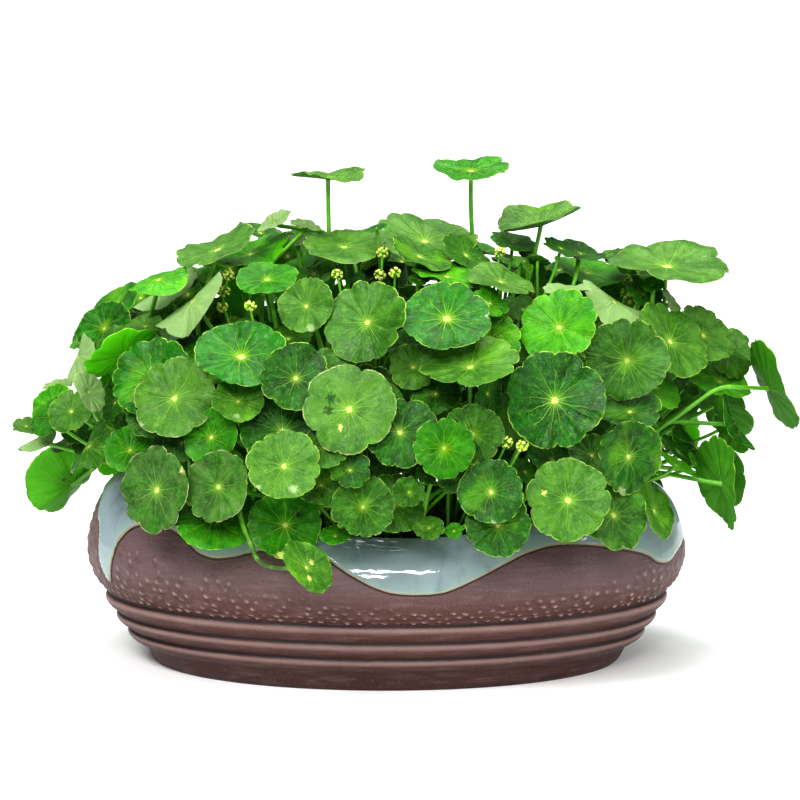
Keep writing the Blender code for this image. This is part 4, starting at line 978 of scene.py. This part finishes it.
def build_soil(material):
    """Crumbly soil over the top of the plain soil solid, out to the bowl's wall."""
    table = soil_wall()
    bpy.ops.object.select_all(action="DESELECT")
    bpy.ops.mesh.primitive_circle_add(vertices=SOIL_STEPS, radius=1.0, fill_type="NOTHING")
    soil = bpy.context.object
    bpy.ops.object.mode_set(mode="EDIT")
    bpy.ops.mesh.select_all(action="SELECT")
    for ring in range(SOIL_RINGS, 1, -1):
        bpy.ops.mesh.extrude_edges_move()
        factor = (ring - 1) / ring
        bpy.ops.transform.resize(value=(factor, factor, factor))
    bpy.ops.mesh.merge(type="CENTER")
    bpy.ops.object.mode_set(mode="OBJECT")
    mesh = soil.data
    points = points_of(mesh)
    out = np.hypot(points[:, 0], points[:, 1])
    angles = np.arctan2(points[:, 1], points[:, 0])
    wall = np.interp(np.degrees(angles), [row[0] for row in table], [row[1] for row in table])
    x = out * wall * np.cos(angles)
    y = out * wall * np.sin(angles) * DEPTH_TO_WIDTH
    z = np.array([soil_top(a, b) for a, b in zip(x, y)])
    for index, (a, b) in enumerate(zip(x, y)):
        crumb = noise.noise(Vector((a, b, 0)) * 95) + 0.7 * noise.noise(Vector((a, b, 3)) * 260)
        clod = abs(noise.noise(Vector((a, b, 7)) * 150))
        z[index] += 0.0011 * crumb + 0.0016 * clod - 0.0010
    set_points(mesh, np.column_stack([x, y, z]))
    select_only(soil)
    bpy.ops.object.mode_set(mode="EDIT")
    bpy.ops.mesh.select_all(action="SELECT")
    bpy.ops.mesh.normals_make_consistent(inside=False)
    bpy.ops.object.mode_set(mode="OBJECT")
    solidify = soil.modifiers.new("Depth", "SOLIDIFY")
    solidify.thickness = SOIL_DEPTH
    solidify.offset = -1
    bpy.ops.object.modifier_apply(modifier=solidify.name)
    bpy.ops.object.shade_smooth()
    soil.name = "soil_surface"
    mesh = soil.data
    mesh.name = "soil_surface"
    mesh.materials.append(material)
    finish_piece(soil, ["soil"])


# Reading the plants' places from the plain solids


class Leaf:
    """A leaf's middle, its facing, its rim's eight places (angle, reach, height), its stalk's path."""

    def __init__(self, centre, normal, across, rim, path):
        self.centre = centre
        self.normal = normal
        self.across = across
        self.along = normal.cross(across)
        self.rim = rim
        self.path = path
        self.inner = False
        self.fold = None
        self.radius = sum(reach for angle, reach, height in rim) / len(rim)


def merged_solid(node):
    """A plain solid's mesh with its doubled corners merged."""
    shape = bmesh.new()
    shape.from_mesh(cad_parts[node].data)
    bmesh.ops.remove_doubles(shape, verts=shape.verts, dist=MERGE_DISTANCE)
    shape.normal_update()
    return shape


def middle_of(vertices):
    """The mean place of some corners."""
    return sum((vertex.co for vertex in vertices), Vector()) / len(vertices)


def blade_rim(vertex):
    """The eight rim places round a blade's middle vertex, or None where it isn't one."""
    if len(vertex.link_edges) != 8:
        return None
    ring = [edge.other_vert(vertex) for edge in vertex.link_edges]
    reaches = [(other.co - vertex.co).length for other in ring]
    if max(reaches) > 1.3 * min(reaches) or min(reaches) < 0.002:
        return None
    first = ring[0].co - vertex.co
    guess = vertex.normal
    across = (first - guess * first.dot(guess)).normalized()
    along = guess.cross(across)
    ring.sort(key=lambda other: math.atan2((other.co - vertex.co).dot(along),
                                           (other.co - vertex.co).dot(across)))
    normal = Vector()
    for here, there in zip(ring, ring[1:] + ring[:1]):
        normal += (here.co - vertex.co).cross(there.co - vertex.co)
    normal.normalize()
    across = (first - normal * first.dot(normal)).normalized()
    along = normal.cross(across)
    rim = []
    for other in ring:
        offset = other.co - vertex.co
        angle = math.atan2(offset.dot(along), offset.dot(across))
        rim.append((angle, math.hypot(offset.dot(along), offset.dot(across)), offset.dot(normal)))
    rim.sort()
    gaps = [b[0] - a[0] for a, b in zip(rim, rim[1:])]
    if min(gaps) < 0.6 or max(gaps) > 1.0:
        return None
    return ring, normal, across, rim


def follow_stem(start, seen):
    """Middles of the three-sided rings that follow one another from a first ring of vertices."""
    path = []
    ring = start
    while len(ring) == 3:
        path.append(middle_of(ring))
        seen |= set(ring)
        ring = {edge.other_vert(vertex) for vertex in ring for edge in vertex.link_edges} - seen
    return path, ring


def read_leaves(node):
    """The leaves of one runner's plain solid."""
    shape = merged_solid(node)
    leaves = []
    for vertex in shape.verts:
        found = blade_rim(vertex)
        if found is None:
            continue
        ring, normal, across, rim = found
        below = vertex.co - normal * SOLID_BLADE_DEPTH
        collar = sorted(shape.verts, key=lambda other: (other.co - below).length)[:3]
        path, foot = follow_stem(set(collar), {vertex, *ring})
        if foot:
            end = middle_of(foot)
            path.append(end + (end - path[-1]).normalized() * RUNNER_RADIUS)
        leaves.append(Leaf(vertex.co.copy(), normal, across, rim, path[::-1]))
    shape.free()
    return leaves


def read_flower(node):
    """A flower stalk's path from the soil, and the middles of its whorls from the lowest up. A
    whorl's solid is a ball with twelve corners, and most of them are still there where it joins."""
    ball = bmesh.new()
    bmesh.ops.create_icosphere(ball, subdivisions=1, radius=WHORL_RADIUS)
    ways = np.array([vertex.co for vertex in ball.verts])
    ball.free()
    shape = merged_solid(node)
    corners = np.array([vertex.co for vertex in shape.verts])
    whorls = []
    for guess in (corners[:, None] - ways[None]).reshape(-1, 3):
        away = np.linalg.norm(corners[:, None] - (guess + ways)[None], axis=2).min(axis=0)
        apart = all((Vector(guess) - known).length > WHORL_RADIUS for known in whorls)
        if apart and (away < WHORL_TOLERANCE).sum() > 7:
            whorls.append(Vector(guess))
    whorls.sort(key=lambda middle: middle.z)
    lowest = sorted(shape.verts, key=lambda vertex: vertex.co.z)[:3]
    path = follow_stem(set(lowest), set())[0]
    path = [point for point in path if point.z < whorls[0].z - 0.004]
    shape.free()
    return path + whorls, whorls


# Leaves and stalks


def model_blade(segments, top_rings, under_rings, material):
    """A blade as a flat disc, radius 1, built ring by ring from its rim: first the top, then the
    underside, a step lower. Gives the object, its flat points and which of them are underneath."""
    bpy.ops.object.select_all(action="DESELECT")
    bpy.ops.mesh.primitive_circle_add(vertices=segments, radius=1.0, fill_type="NOTHING")
    blade = bpy.context.object
    bpy.ops.object.mode_set(mode="EDIT")
    for rings, drop in ((top_rings, 0.0), (under_rings, -0.5)):
        bpy.ops.mesh.select_all(action="DESELECT")
        shape = bmesh.from_edit_mesh(blade.data)
        for edge in shape.edges:
            edge.select_set(all(vertex.co.xy.length > 0.999 for vertex in edge.verts))
        bmesh.update_edit_mesh(blade.data)
        size = 1.0
        for number, ring in enumerate(rings):
            bpy.ops.mesh.extrude_edges_move()
            bpy.ops.transform.resize(value=(ring / size, ring / size, 1.0))
            if number == 0 and drop:
                bpy.ops.transform.translate(value=(0, 0, drop))
            size = ring
        bpy.ops.mesh.merge(type="CENTER")
    bpy.ops.mesh.select_all(action="SELECT")
    bpy.ops.mesh.normals_make_consistent(inside=False)
    bpy.ops.object.mode_set(mode="OBJECT")
    blade.name = "blade_pattern"
    blade.data.materials.append(material)
    flat = points_of(blade.data)
    return blade, flat, (flat[:, 2] < -0.1).astype(float)


def periodic(angles, rim, column):
    """The rim's reach or height at any angle, bending smoothly through its eight places."""
    at = np.array([row[0] for row in rim])
    values = np.array([row[column] for row in rim])
    turns = np.searchsorted(at, angles) - 1
    here = turns % 8
    there = (turns + 1) % 8
    gap = (at[there] - at[here]) % (2 * math.pi)
    share = ((angles - at[here]) % (2 * math.pi)) / gap
    before = values[(turns - 1) % 8]
    after = values[(turns + 2) % 8]
    start, end = values[here], values[there]
    cubic = share**3 * (3 * start - before - 3 * end + after)
    square = share**2 * (2 * before - 5 * start + 4 * end - after)
    return 0.5 * (cubic + square + share * (end - before)) + start


def lobed_reach(place, rng, radius, fine):
    """The scalloped outline: share of the full reach, for each place round the rim, 0 to 1."""
    kind = rng.random()
    lobes, deep = (12, 0.080) if kind < 0.60 else (8, 0.105) if kind < 0.85 else (24, 0.040)
    if radius < 0.011:
        lobes, deep = 8, 0.15
    depths = deep * rng.uniform(0.25, 1.45, lobes)
    share = place * lobes
    number = np.floor(share).astype(int) % lobes
    within = share - np.floor(share)
    depth = np.where(within < 0.5, depths[number], depths[(number + 1) % lobes])
    reach = 1 - depth * (1 - np.sin(np.pi * np.clip(within, 0, 1)) ** 0.55)
    if fine and lobes < 24:
        reach -= 0.012 * (1 - np.abs(np.sin(np.pi * place * 40)) ** 0.8)
    if rng.random() < 0.35:
        away = np.abs((place - rng.random() + 0.5) % 1 - 0.5)
        reach -= rng.uniform(0.08, 0.22) * np.exp(-((away / 0.016) ** 2))
    return reach


def shape_blade(flat, under, leaf, rng):
    """Bends a copy of the flat blade to a leaf's rim and gives it its own lobes and pleats."""
    out = np.hypot(flat[:, 0], flat[:, 1])
    regular = np.arctan2(flat[:, 1], flat[:, 0])
    place = (regular / (2 * math.pi)) % 1
    angle = regular.copy()
    for wave in (1, 2, 3):
        angle += rng.uniform(0, 0.16) / wave * np.sin(wave * regular + rng.uniform(0, 6.28))
    angle = (angle + math.pi) % (2 * math.pi) - math.pi
    reach = periodic(angle, leaf.rim, 1) * 0.995
    height = periodic(angle, leaf.rim, 2)
    edge = smooth_step((out - 0.20) / 0.80)
    reach = reach * (1 - (1 - lobed_reach(place, rng, leaf.radius, len(flat) > 1000)) * edge)
    size = leaf.radius
    rise = height * out**1.7
    rise -= size * rng.uniform(0.012, 0.030) * np.cos(12 * regular) * out * (1 - out * 0.45)
    for wave in (2, 3, 4, 5, 7):
        swell = rng.uniform(0.006, 0.030)
        rise += size * swell * np.sin(wave * regular + rng.uniform(0, 6.28)) * out**2.2
    rise -= size * rng.uniform(0.0, 0.06) * smooth_step((out - 0.80) / 0.20)
    rise -= size * CENTRE_DIP * np.exp(-((out / 0.10) ** 2))
    thicker = CUPPED_BLADE_THICKER if leaf.fold and leaf.fold[1] < 0 else 1.0
    rise -= under * BLADE_THICKNESS * np.where(out > 0.9, 0.7, thicker)
    x, y = out * reach * np.cos(angle), out * reach * np.sin(angle)
    if leaf.fold:
        turn, bend = leaf.fold
        aside = -x * math.sin(turn) + y * math.cos(turn)
        bend *= smooth_step(np.abs(aside) / size * 2.5)
        x += aside * (1 - np.cos(bend)) * math.sin(turn)
        y -= aside * (1 - np.cos(bend)) * math.cos(turn)
        rise -= np.abs(aside) * np.sin(bend)
    points = (np.array(leaf.centre) + np.outer(x, leaf.across) + np.outer(y, leaf.along)
              + np.outer(rise, leaf.normal))
    own = np.column_stack([out * np.cos(regular), out * np.sin(regular), under])
    return points, own


def view_place(point):
    """Where a point is seen in the view, across and down."""
    forward = (LOOK_AT - EYE).normalized()
    right = forward.cross(Vector((0, 0, 1))).normalized()
    offset = point - EYE
    depth = offset.dot(forward)
    up = right.cross(forward)
    return (VIEW_HALF + VIEW_FOCAL * offset.dot(right) / depth,
            VIEW_HALF - VIEW_FOCAL * offset.dot(up) / depth)


def fold_of(leaf):
    """The fold's direction in the leaf's own plane and its bend, for a leaf that is in the table."""
    across, down = view_place(leaf.centre)
    for fold_across, fold_down, direction, bend in FOLDED_LEAVES:
        if math.hypot(fold_across - across, fold_down - down) < FOLD_REACH:
            forward = (leaf.centre - EYE).normalized()
            right = forward.cross(Vector((0, 0, 1))).normalized()
            direction = math.radians(direction)
            line = right * math.cos(direction) + right.cross(forward) * math.sin(direction)
            tip = forward.dot(leaf.normal)
            if abs(tip) > 0.15:
                line -= forward * (line.dot(leaf.normal) / tip)
            turn = math.atan2(line.dot(leaf.along), line.dot(leaf.across))
            return turn, math.radians(bend)
    return None


def tone_of(leaf, rng):
    """A leaf's place from dark to light and its grey bloom with painted sheen, from the table where it
    lists the leaf.
    """
    across, down = view_place(leaf.centre)
    best = None
    for name, places in LEAF_TONES.items():
        for place in places:
            far = math.hypot(place[0] - across, place[1] - down)
            if far < TONE_REACH and (best is None or far < best[0]):
                best = (far, name)
    if leaf.inner or best is None:
        return rng.uniform(0.0, 0.60), rng.uniform(-0.8, 0.5)
    tone, grey = TONE_LOOK[best[1]]
    return tone + rng.uniform(-0.05, 0.05), grey + rng.uniform(-0.05, 0.05)


def keep_inside(points):
    """Presses the outermost leaf edges softly back inside the box of the solids."""
    low, high = (np.array(corner) for corner in solid_box)
    for axis, side, limit in ((0, 1, high), (1, 1, high), (2, 1, high), (0, -1, low), (1, -1, low)):
        over = side * points[:, axis] - (side * limit[axis] - EDGE_MARGIN)
        pressed = side * limit[axis] - EDGE_MARGIN * np.exp(-over / EDGE_MARGIN)
        points[:, axis] = np.where(over > 0, side * pressed, points[:, axis])
    return points


def marks_of(leaf, points, own):
    """Up to three marks of a leaf, each as its place in the leaf's round coordinates and its kind
    plus its half width there."""
    found = []
    across, down = view_place(leaf.centre)
    for kind, places in enumerate(LEAF_MARKS.values()):
        for mark_across, mark_down, half_width, leaf_across, leaf_down in places:
            if math.hypot(leaf_across - across, leaf_down - down) > TONE_REACH or leaf.inner:
                continue
            seen = np.array([view_place(Vector(point)) for point in points])
            far = np.hypot(seen[:, 0] - mark_across, seen[:, 1] - mark_down) + 1e6 * (own[:, 2] > 0.5)
            near = np.argsort(far)[:3]
            share = 1 / (far[near] + 0.01)
            spot = (own[near] * share[:, None]).sum(axis=0) / share.sum()
            wide = leaf.radius * VIEW_FOCAL / (leaf.centre - EYE).length
            found.append((spot[0], spot[1], kind + half_width / wide))
    return (found + [(0.0, 0.0, 0.0)] * 3)[:3]


def build_blade(pattern, leaf, rng):
    """One leaf's blade, with the values that the leaf's material reads."""
    blade, flat, under = pattern
    obj = blade.copy()
    obj.data = blade.data.copy()
    bpy.context.scene.collection.objects.link(obj)
    points, own = shape_blade(flat, under, leaf, rng)
    points = keep_inside(points)
    set_points(obj.data, points)
    tone, grey = tone_of(leaf, rng)
    across, down = view_place(leaf.centre)
    wet = any(math.hypot(x - across, y - down) < FOLD_REACH for x, y in WET_LEAVES)
    chance = WET_CHANCE if wet and not leaf.inner else HIGHEST_OTHER_CHANCE * rng.random()
    look = np.tile((max(tone, 0.0), grey, chance), (len(points), 1))
    add_values(obj.data, "leaf_place", own)
    for number, mark in enumerate(marks_of(leaf, points, own)):
        add_values(obj.data, "leaf_mark_%d" % (number + 1), np.tile(mark, (len(points), 1)))
    add_values(obj.data, "leaf_look", look)
    return obj


def stem_object(name, paths, radius, flare, material):
    """Smooth round stems along paths of points, thinner to their tips, as one mesh."""
    curve = bpy.data.curves.new(name, "CURVE")
    curve.dimensions = "3D"
    curve.bevel_depth = radius
    curve.bevel_resolution = 2
    curve.resolution_u = 5
    curve.use_fill_caps = True
    for path in paths:
        line = curve.splines.new("NURBS")
        line.points.add(len(path) - 1)
        for index, (spot, point) in enumerate(zip(path, line.points)):
            point.co = (*spot, 1.0)
            share = index / (len(path) - 1)
            point.radius = 1.12 - 0.24 * share if index < len(path) - 1 else flare
        line.order_u = min(3, len(path))
        line.use_endpoint_u = True
    obj = bpy.data.objects.new(name, curve)
    bpy.context.scene.collection.objects.link(obj)
    select_only(obj)
    bpy.ops.object.convert(target="MESH")
    obj = bpy.context.object
    obj.data.materials.clear()
    obj.data.materials.append(material)
    return obj


def stalk_line(leaf, rng):
    """The stalk's path with more points and a slight bow, up to the blade's underside."""
    tip = leaf.centre - leaf.normal * (BLADE_THICKNESS + leaf.radius * CENTRE_DIP)
    path = leaf.path[:-1] + [leaf.centre - leaf.normal * SOLID_BLADE_DEPTH, tip]
    line = [path[0]]
    bow = Vector((rng.uniform(-1, 1), rng.uniform(-1, 1), 0)) * STALK_BOW
    for start, end in zip(path[:-1], path[1:]):
        length = (end - start).length
        steps = max(1, int(length / STALK_STEP))
        for step in range(1, steps + 1):
            share = step / steps
            sag = math.sin(math.pi * share) * min(length / 0.05, 1)
            line.append(start.lerp(end, share) + bow * sag)
    return line


def runner_line(leaves, rng):
    """The creeping stem's path along its oval ring on the soil, past its leaves' feet."""
    feet = [leaf.path[0] for leaf in leaves]
    wide = 0.0
    for foot in feet:
        low, high = RING_RANGE
        for _ in range(40):
            middle = (low + high) / 2
            inside = (foot.x / middle) ** 2 + (foot.y / (middle - RING_DIFFERENCE)) ** 2 > 1
            low, high = (middle, high) if inside else (low, middle)
        wide += low / len(feet)
    deep = wide - RING_DIFFERENCE
    angles = sorted(math.atan2(foot.y / deep, foot.x / wide) for foot in feet)
    gaps = [(b - a, i) for i, (a, b) in enumerate(zip(angles, angles[1:] + [angles[0] + 2 * math.pi]))]
    after = (max(gaps)[1] + 1) % len(angles)
    start = angles[after]
    span = 2 * math.pi - max(gaps)[0]
    mean = math.sqrt((wide * wide + deep * deep) / 2)
    tail = RUNNER_TAIL / mean
    line = []
    steps = max(2, int((span + 2 * tail) * mean / RUNNER_STEP))
    for step in range(steps + 1):
        angle = start - tail + (span + 2 * tail) * step / steps
        x, y = wide * math.cos(angle), deep * math.sin(angle)
        wiggle = Vector((rng.uniform(-1, 1), rng.uniform(-1, 1), rng.uniform(-0.4, 0.4)))
        line.append(Vector((x, y, soil_top(x, y) + RUNNER_LIFT)) + wiggle * RUNNER_WIGGLE)
    return line


def inner_leaf(row):
    """A small leaf inside the tuft, from its row in the table, with its stalk's path."""
    x, y, z, turn, rise, radius, foot_x, foot_y = row
    turn, rise = math.radians(turn), math.radians(rise)
    level = math.cos(rise)
    normal = Vector((level * math.cos(turn), level * math.sin(turn), math.sin(rise)))
    centre = Vector((x, y, z)) / 1000
    across = normal.cross(Vector((0, 0, 1))).normalized()
    radius /= 1000
    rim = [(math.radians(angle), radius, 0.06 * radius) for angle in range(-180, 180, 45)]
    foot_x, foot_y = foot_x / 1000, foot_y / 1000
    foot = Vector((foot_x, foot_y, soil_top(foot_x, foot_y) + RUNNER_LIFT))
    high = centre.z - foot.z
    low = foot + Vector((0, 0, 0.45 * high))
    near = centre - normal * min(0.35 * high, 0.025) - Vector((0, 0, 0.15 * high))
    path = [foot]
    for share in (0.25, 0.5, 0.75, 0.9):
        path.append(foot * (1 - share)**3 + low * 3 * (1 - share)**2 * share
                    + near * 3 * (1 - share) * share**2 + centre * share**3)
    leaf = Leaf(centre, normal, across, rim, path + [centre])
    leaf.inner = True
    return leaf


def share_inner_leaves(lines):
    """Gives each inner leaf to the runner that its foot stands on."""
    shares = {node: [] for node in lines}
    for row in INNER_LEAVES:
        leaf = inner_leaf(row)
        nearest = min(lines, key=lambda node: min((point - leaf.path[0]).length for point in lines[node]))
        shares[nearest].append(leaf)
    return shares


def build_leafy_runner(node, number, leaves, inner, line, patterns, stalk_green):
    """A creeping stem with its leaves, its inner leaves and all their stalks, as one piece."""
    rng = np.random.default_rng(SHAPE_SEEDS.get(number, number))
    parts = [build_blade(patterns[0], leaf, rng) for leaf in leaves]
    parts += [build_blade(patterns[1], leaf, rng) for leaf in inner]
    stalks = [stalk_line(leaf, rng) for leaf in leaves]
    parts.append(stem_object("stalks", stalks, STALK_RADIUS, 1.15, stalk_green))
    if inner:
        stalks = [stalk_line(leaf, rng) for leaf in inner]
        parts.append(stem_object("thin_stalks", stalks, INNER_STALK_RADIUS, 1.1, stalk_green))
    parts.append(stem_object("runner", [line], RUNNER_RADIUS, 0.5, stalk_green))
    piece = join("runner_%02d_with_leaves" % number, parts)
    bpy.ops.object.shade_smooth()
    finish_piece(piece, [node])


def model_floret(material):
    """One tiny flower: a cup with five petals round a raised middle."""
    bpy.ops.object.select_all(action="DESELECT")
    bpy.ops.mesh.primitive_circle_add(vertices=10, radius=1.0, fill_type="NOTHING")
    floret = bpy.context.object
    bpy.ops.object.mode_set(mode="EDIT")
    for size, lift in ((0.45, 0.15), (0.35, -0.95)):
        bpy.ops.mesh.select_all(action="DESELECT")
        shape = bmesh.from_edit_mesh(floret.data)
        for edge in shape.edges:
            edge.select_set(all(vertex.co.xy.length > 0.999 for vertex in edge.verts))
        bmesh.update_edit_mesh(floret.data)
        bpy.ops.mesh.extrude_edges_move()
        bpy.ops.transform.resize(value=(size, size, 1.0))
        bpy.ops.transform.translate(value=(0, 0, lift))
        bpy.ops.mesh.edge_face_add()
    bpy.ops.mesh.select_all(action="SELECT")
    bpy.ops.mesh.normals_make_consistent(inside=False)
    bpy.ops.object.mode_set(mode="OBJECT")
    points = points_of(floret.data)
    out = np.hypot(points[:, 0], points[:, 1])
    petal = np.cos(5 * np.arctan2(points[:, 1], points[:, 0]))
    points[:, :2] *= np.where(out > 0.9, 0.80 + 0.30 * petal, 1.0)[:, None]
    points[:, 2] += np.where(out > 0.9, 0.30 * petal, 0.0)
    set_points(floret.data, points)
    floret.data.materials.append(material)
    floret.name = "floret_pattern"
    return floret


def build_flower_stalk(node, number, floret, stalk_green):
    """A flower stalk with its whorls of tiny flowers on short stems, as one piece."""
    path, whorls = read_flower(node)
    rng = np.random.default_rng(100 + number)
    buds = []
    stems = []
    base = points_of(floret.data)
    for middle in whorls:
        for index in range(FLORETS):
            height = 1 - 2 * (index + 0.5) / FLORETS
            ring = math.sqrt(1 - height * height)
            turn = FLORET_TURN * index + number
            way = Vector((ring * math.cos(turn), ring * math.sin(turn), height * 0.9))
            size = rng.uniform(0.0009, 0.0014)
            spot = middle + way * (WHORL_RADIUS * 1.05 - size * 0.5) * rng.uniform(0.80, 1.0)
            bud = floret.copy()
            bud.data = floret.data.copy()
            bpy.context.scene.collection.objects.link(bud)
            facing = np.array(way.to_track_quat("Z", "Y").to_matrix())
            set_points(bud.data, base @ facing.T * size + np.array(spot))
            buds.append(bud)
            stems.append([middle.copy(), middle.lerp(spot, 0.5), spot])
    stalk = stem_object("stalk", [path], FLOWER_STALK_RADIUS, 0.8, stalk_green)
    short = stem_object("short_stems", stems, SHORT_STEM_RADIUS, 0.8, stalk_green)
    piece = join("flower_stalk_%d_in_bloom" % number, buds + [stalk, short])
    finish_piece(piece, [node])


# The studio


def build_floor():
    """A wide pale floor that turns to plain white light away from the bowl."""
    bpy.ops.object.select_all(action="DESELECT")
    bpy.ops.mesh.primitive_plane_add(size=40.0, location=(0, 0, 0))
    floor = bpy.context.object
    floor.name = "studio_floor"
    paper = Recipe("pale_floor")
    far = paper.node("VectorMath", {"operation": "LENGTH"}, _0=paper.place()).outputs[1]
    glow = paper.ramp(far, 0.30, 0.85)
    tint = paper.blend(paper.noise(paper.place(), 3.0), shade(244, 244, 244), shade(249, 249, 249))
    paper.finish(Base_Color=paper.blend(glow, tint, (0.0, 0.0, 0.0)), Roughness=0.9,
                 Emission_Color=(1.0, 1.0, 1.0), Emission_Strength=glow)
    floor.data.materials.append(paper.material)


def build_sky():
    """The camera sees a white backdrop, and the sky that lights the plant is softer than that."""
    world = bpy.data.worlds.new("soft_sky")
    bpy.context.scene.world = world
    world.use_nodes = True
    tree = world.node_tree
    sky = tree.nodes["Background"]
    sky.inputs["Color"].default_value = SKY_COLOUR
    sky.inputs["Strength"].default_value = SKY_STRENGTH
    white = tree.nodes.new("ShaderNodeBackground")
    white.inputs["Color"].default_value = (1.0, 1.0, 1.0, 1.0)
    seen = tree.nodes.new("ShaderNodeLightPath")
    pick = tree.nodes.new("ShaderNodeMixShader")
    tree.links.new(seen.outputs["Is Camera Ray"], pick.inputs[0])
    tree.links.new(sky.outputs[0], pick.inputs[1])
    tree.links.new(white.outputs[0], pick.inputs[2])
    tree.links.new(pick.outputs[0], tree.nodes["World Output"].inputs["Surface"])


def hang_lamps():
    """The studio's soft rectangular lamps, all aimed at the plant."""
    for name, place, size, power in LAMPS:
        light = bpy.data.lights.new(name, "AREA")
        light.shape = "RECTANGLE"
        light.size, light.size_y = size
        light.energy = power
        lamp = bpy.data.objects.new(name, light)
        lamp.location = place
        aim = LAMP_AIM - Vector(place)
        lamp.rotation_euler = aim.to_track_quat("-Z", "Y").to_euler()
        bpy.context.scene.collection.objects.link(lamp)


def place_camera():
    """The camera as the photo's was, and how the picture is developed."""
    camera = bpy.data.cameras.new("camera")
    camera.sensor_width = SENSOR_WIDTH
    camera.lens = VIEW_FOCAL / (2 * VIEW_HALF) * SENSOR_WIDTH
    eye = bpy.data.objects.new("camera", camera)
    eye.location = EYE
    eye.rotation_euler = (LOOK_AT - EYE).to_track_quat("-Z", "Y").to_euler()
    bpy.context.scene.collection.objects.link(eye)
    bpy.context.scene.camera = eye
    bpy.context.scene.view_settings.view_transform = "Standard"
    bpy.context.scene.view_settings.look = "High Contrast"


def main():
    """Builds the studio, the bowl, the soil, the runners with their leaves, and the flowers."""
    build_floor()
    build_sky()
    hang_lamps()
    place_camera()
    build_bowl(bowl_material())
    build_soil(soil_material())
    leaf_green = leaf_material()
    stalk_green = stalk_material()
    patterns = [model_blade(*FINE_BLADE, leaf_green), model_blade(*PLAIN_BLADE, leaf_green)]
    runners = sorted(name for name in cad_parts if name.startswith("leafy_runner"))
    leaves = {node: read_leaves(node) for node in runners}
    for leaf in sum(leaves.values(), []):
        leaf.fold = fold_of(leaf)
    lines = {node: runner_line(leaves[node], np.random.default_rng(number))
             for number, node in enumerate(runners, 50)}
    inner = share_inner_leaves(lines)
    for number, node in enumerate(runners, 1):
        build_leafy_runner(node, number, leaves[node], inner[node], lines[node], patterns, stalk_green)
    floret = model_floret(flower_material())
    flowers = sorted(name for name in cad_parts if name.startswith("flower_stalk"))
    for number, node in enumerate(flowers, 1):
        build_flower_stalk(node, number, floret, stalk_green)
    for pattern in (patterns[0][0], patterns[1][0], floret):
        bpy.data.objects.remove(pattern)


main()
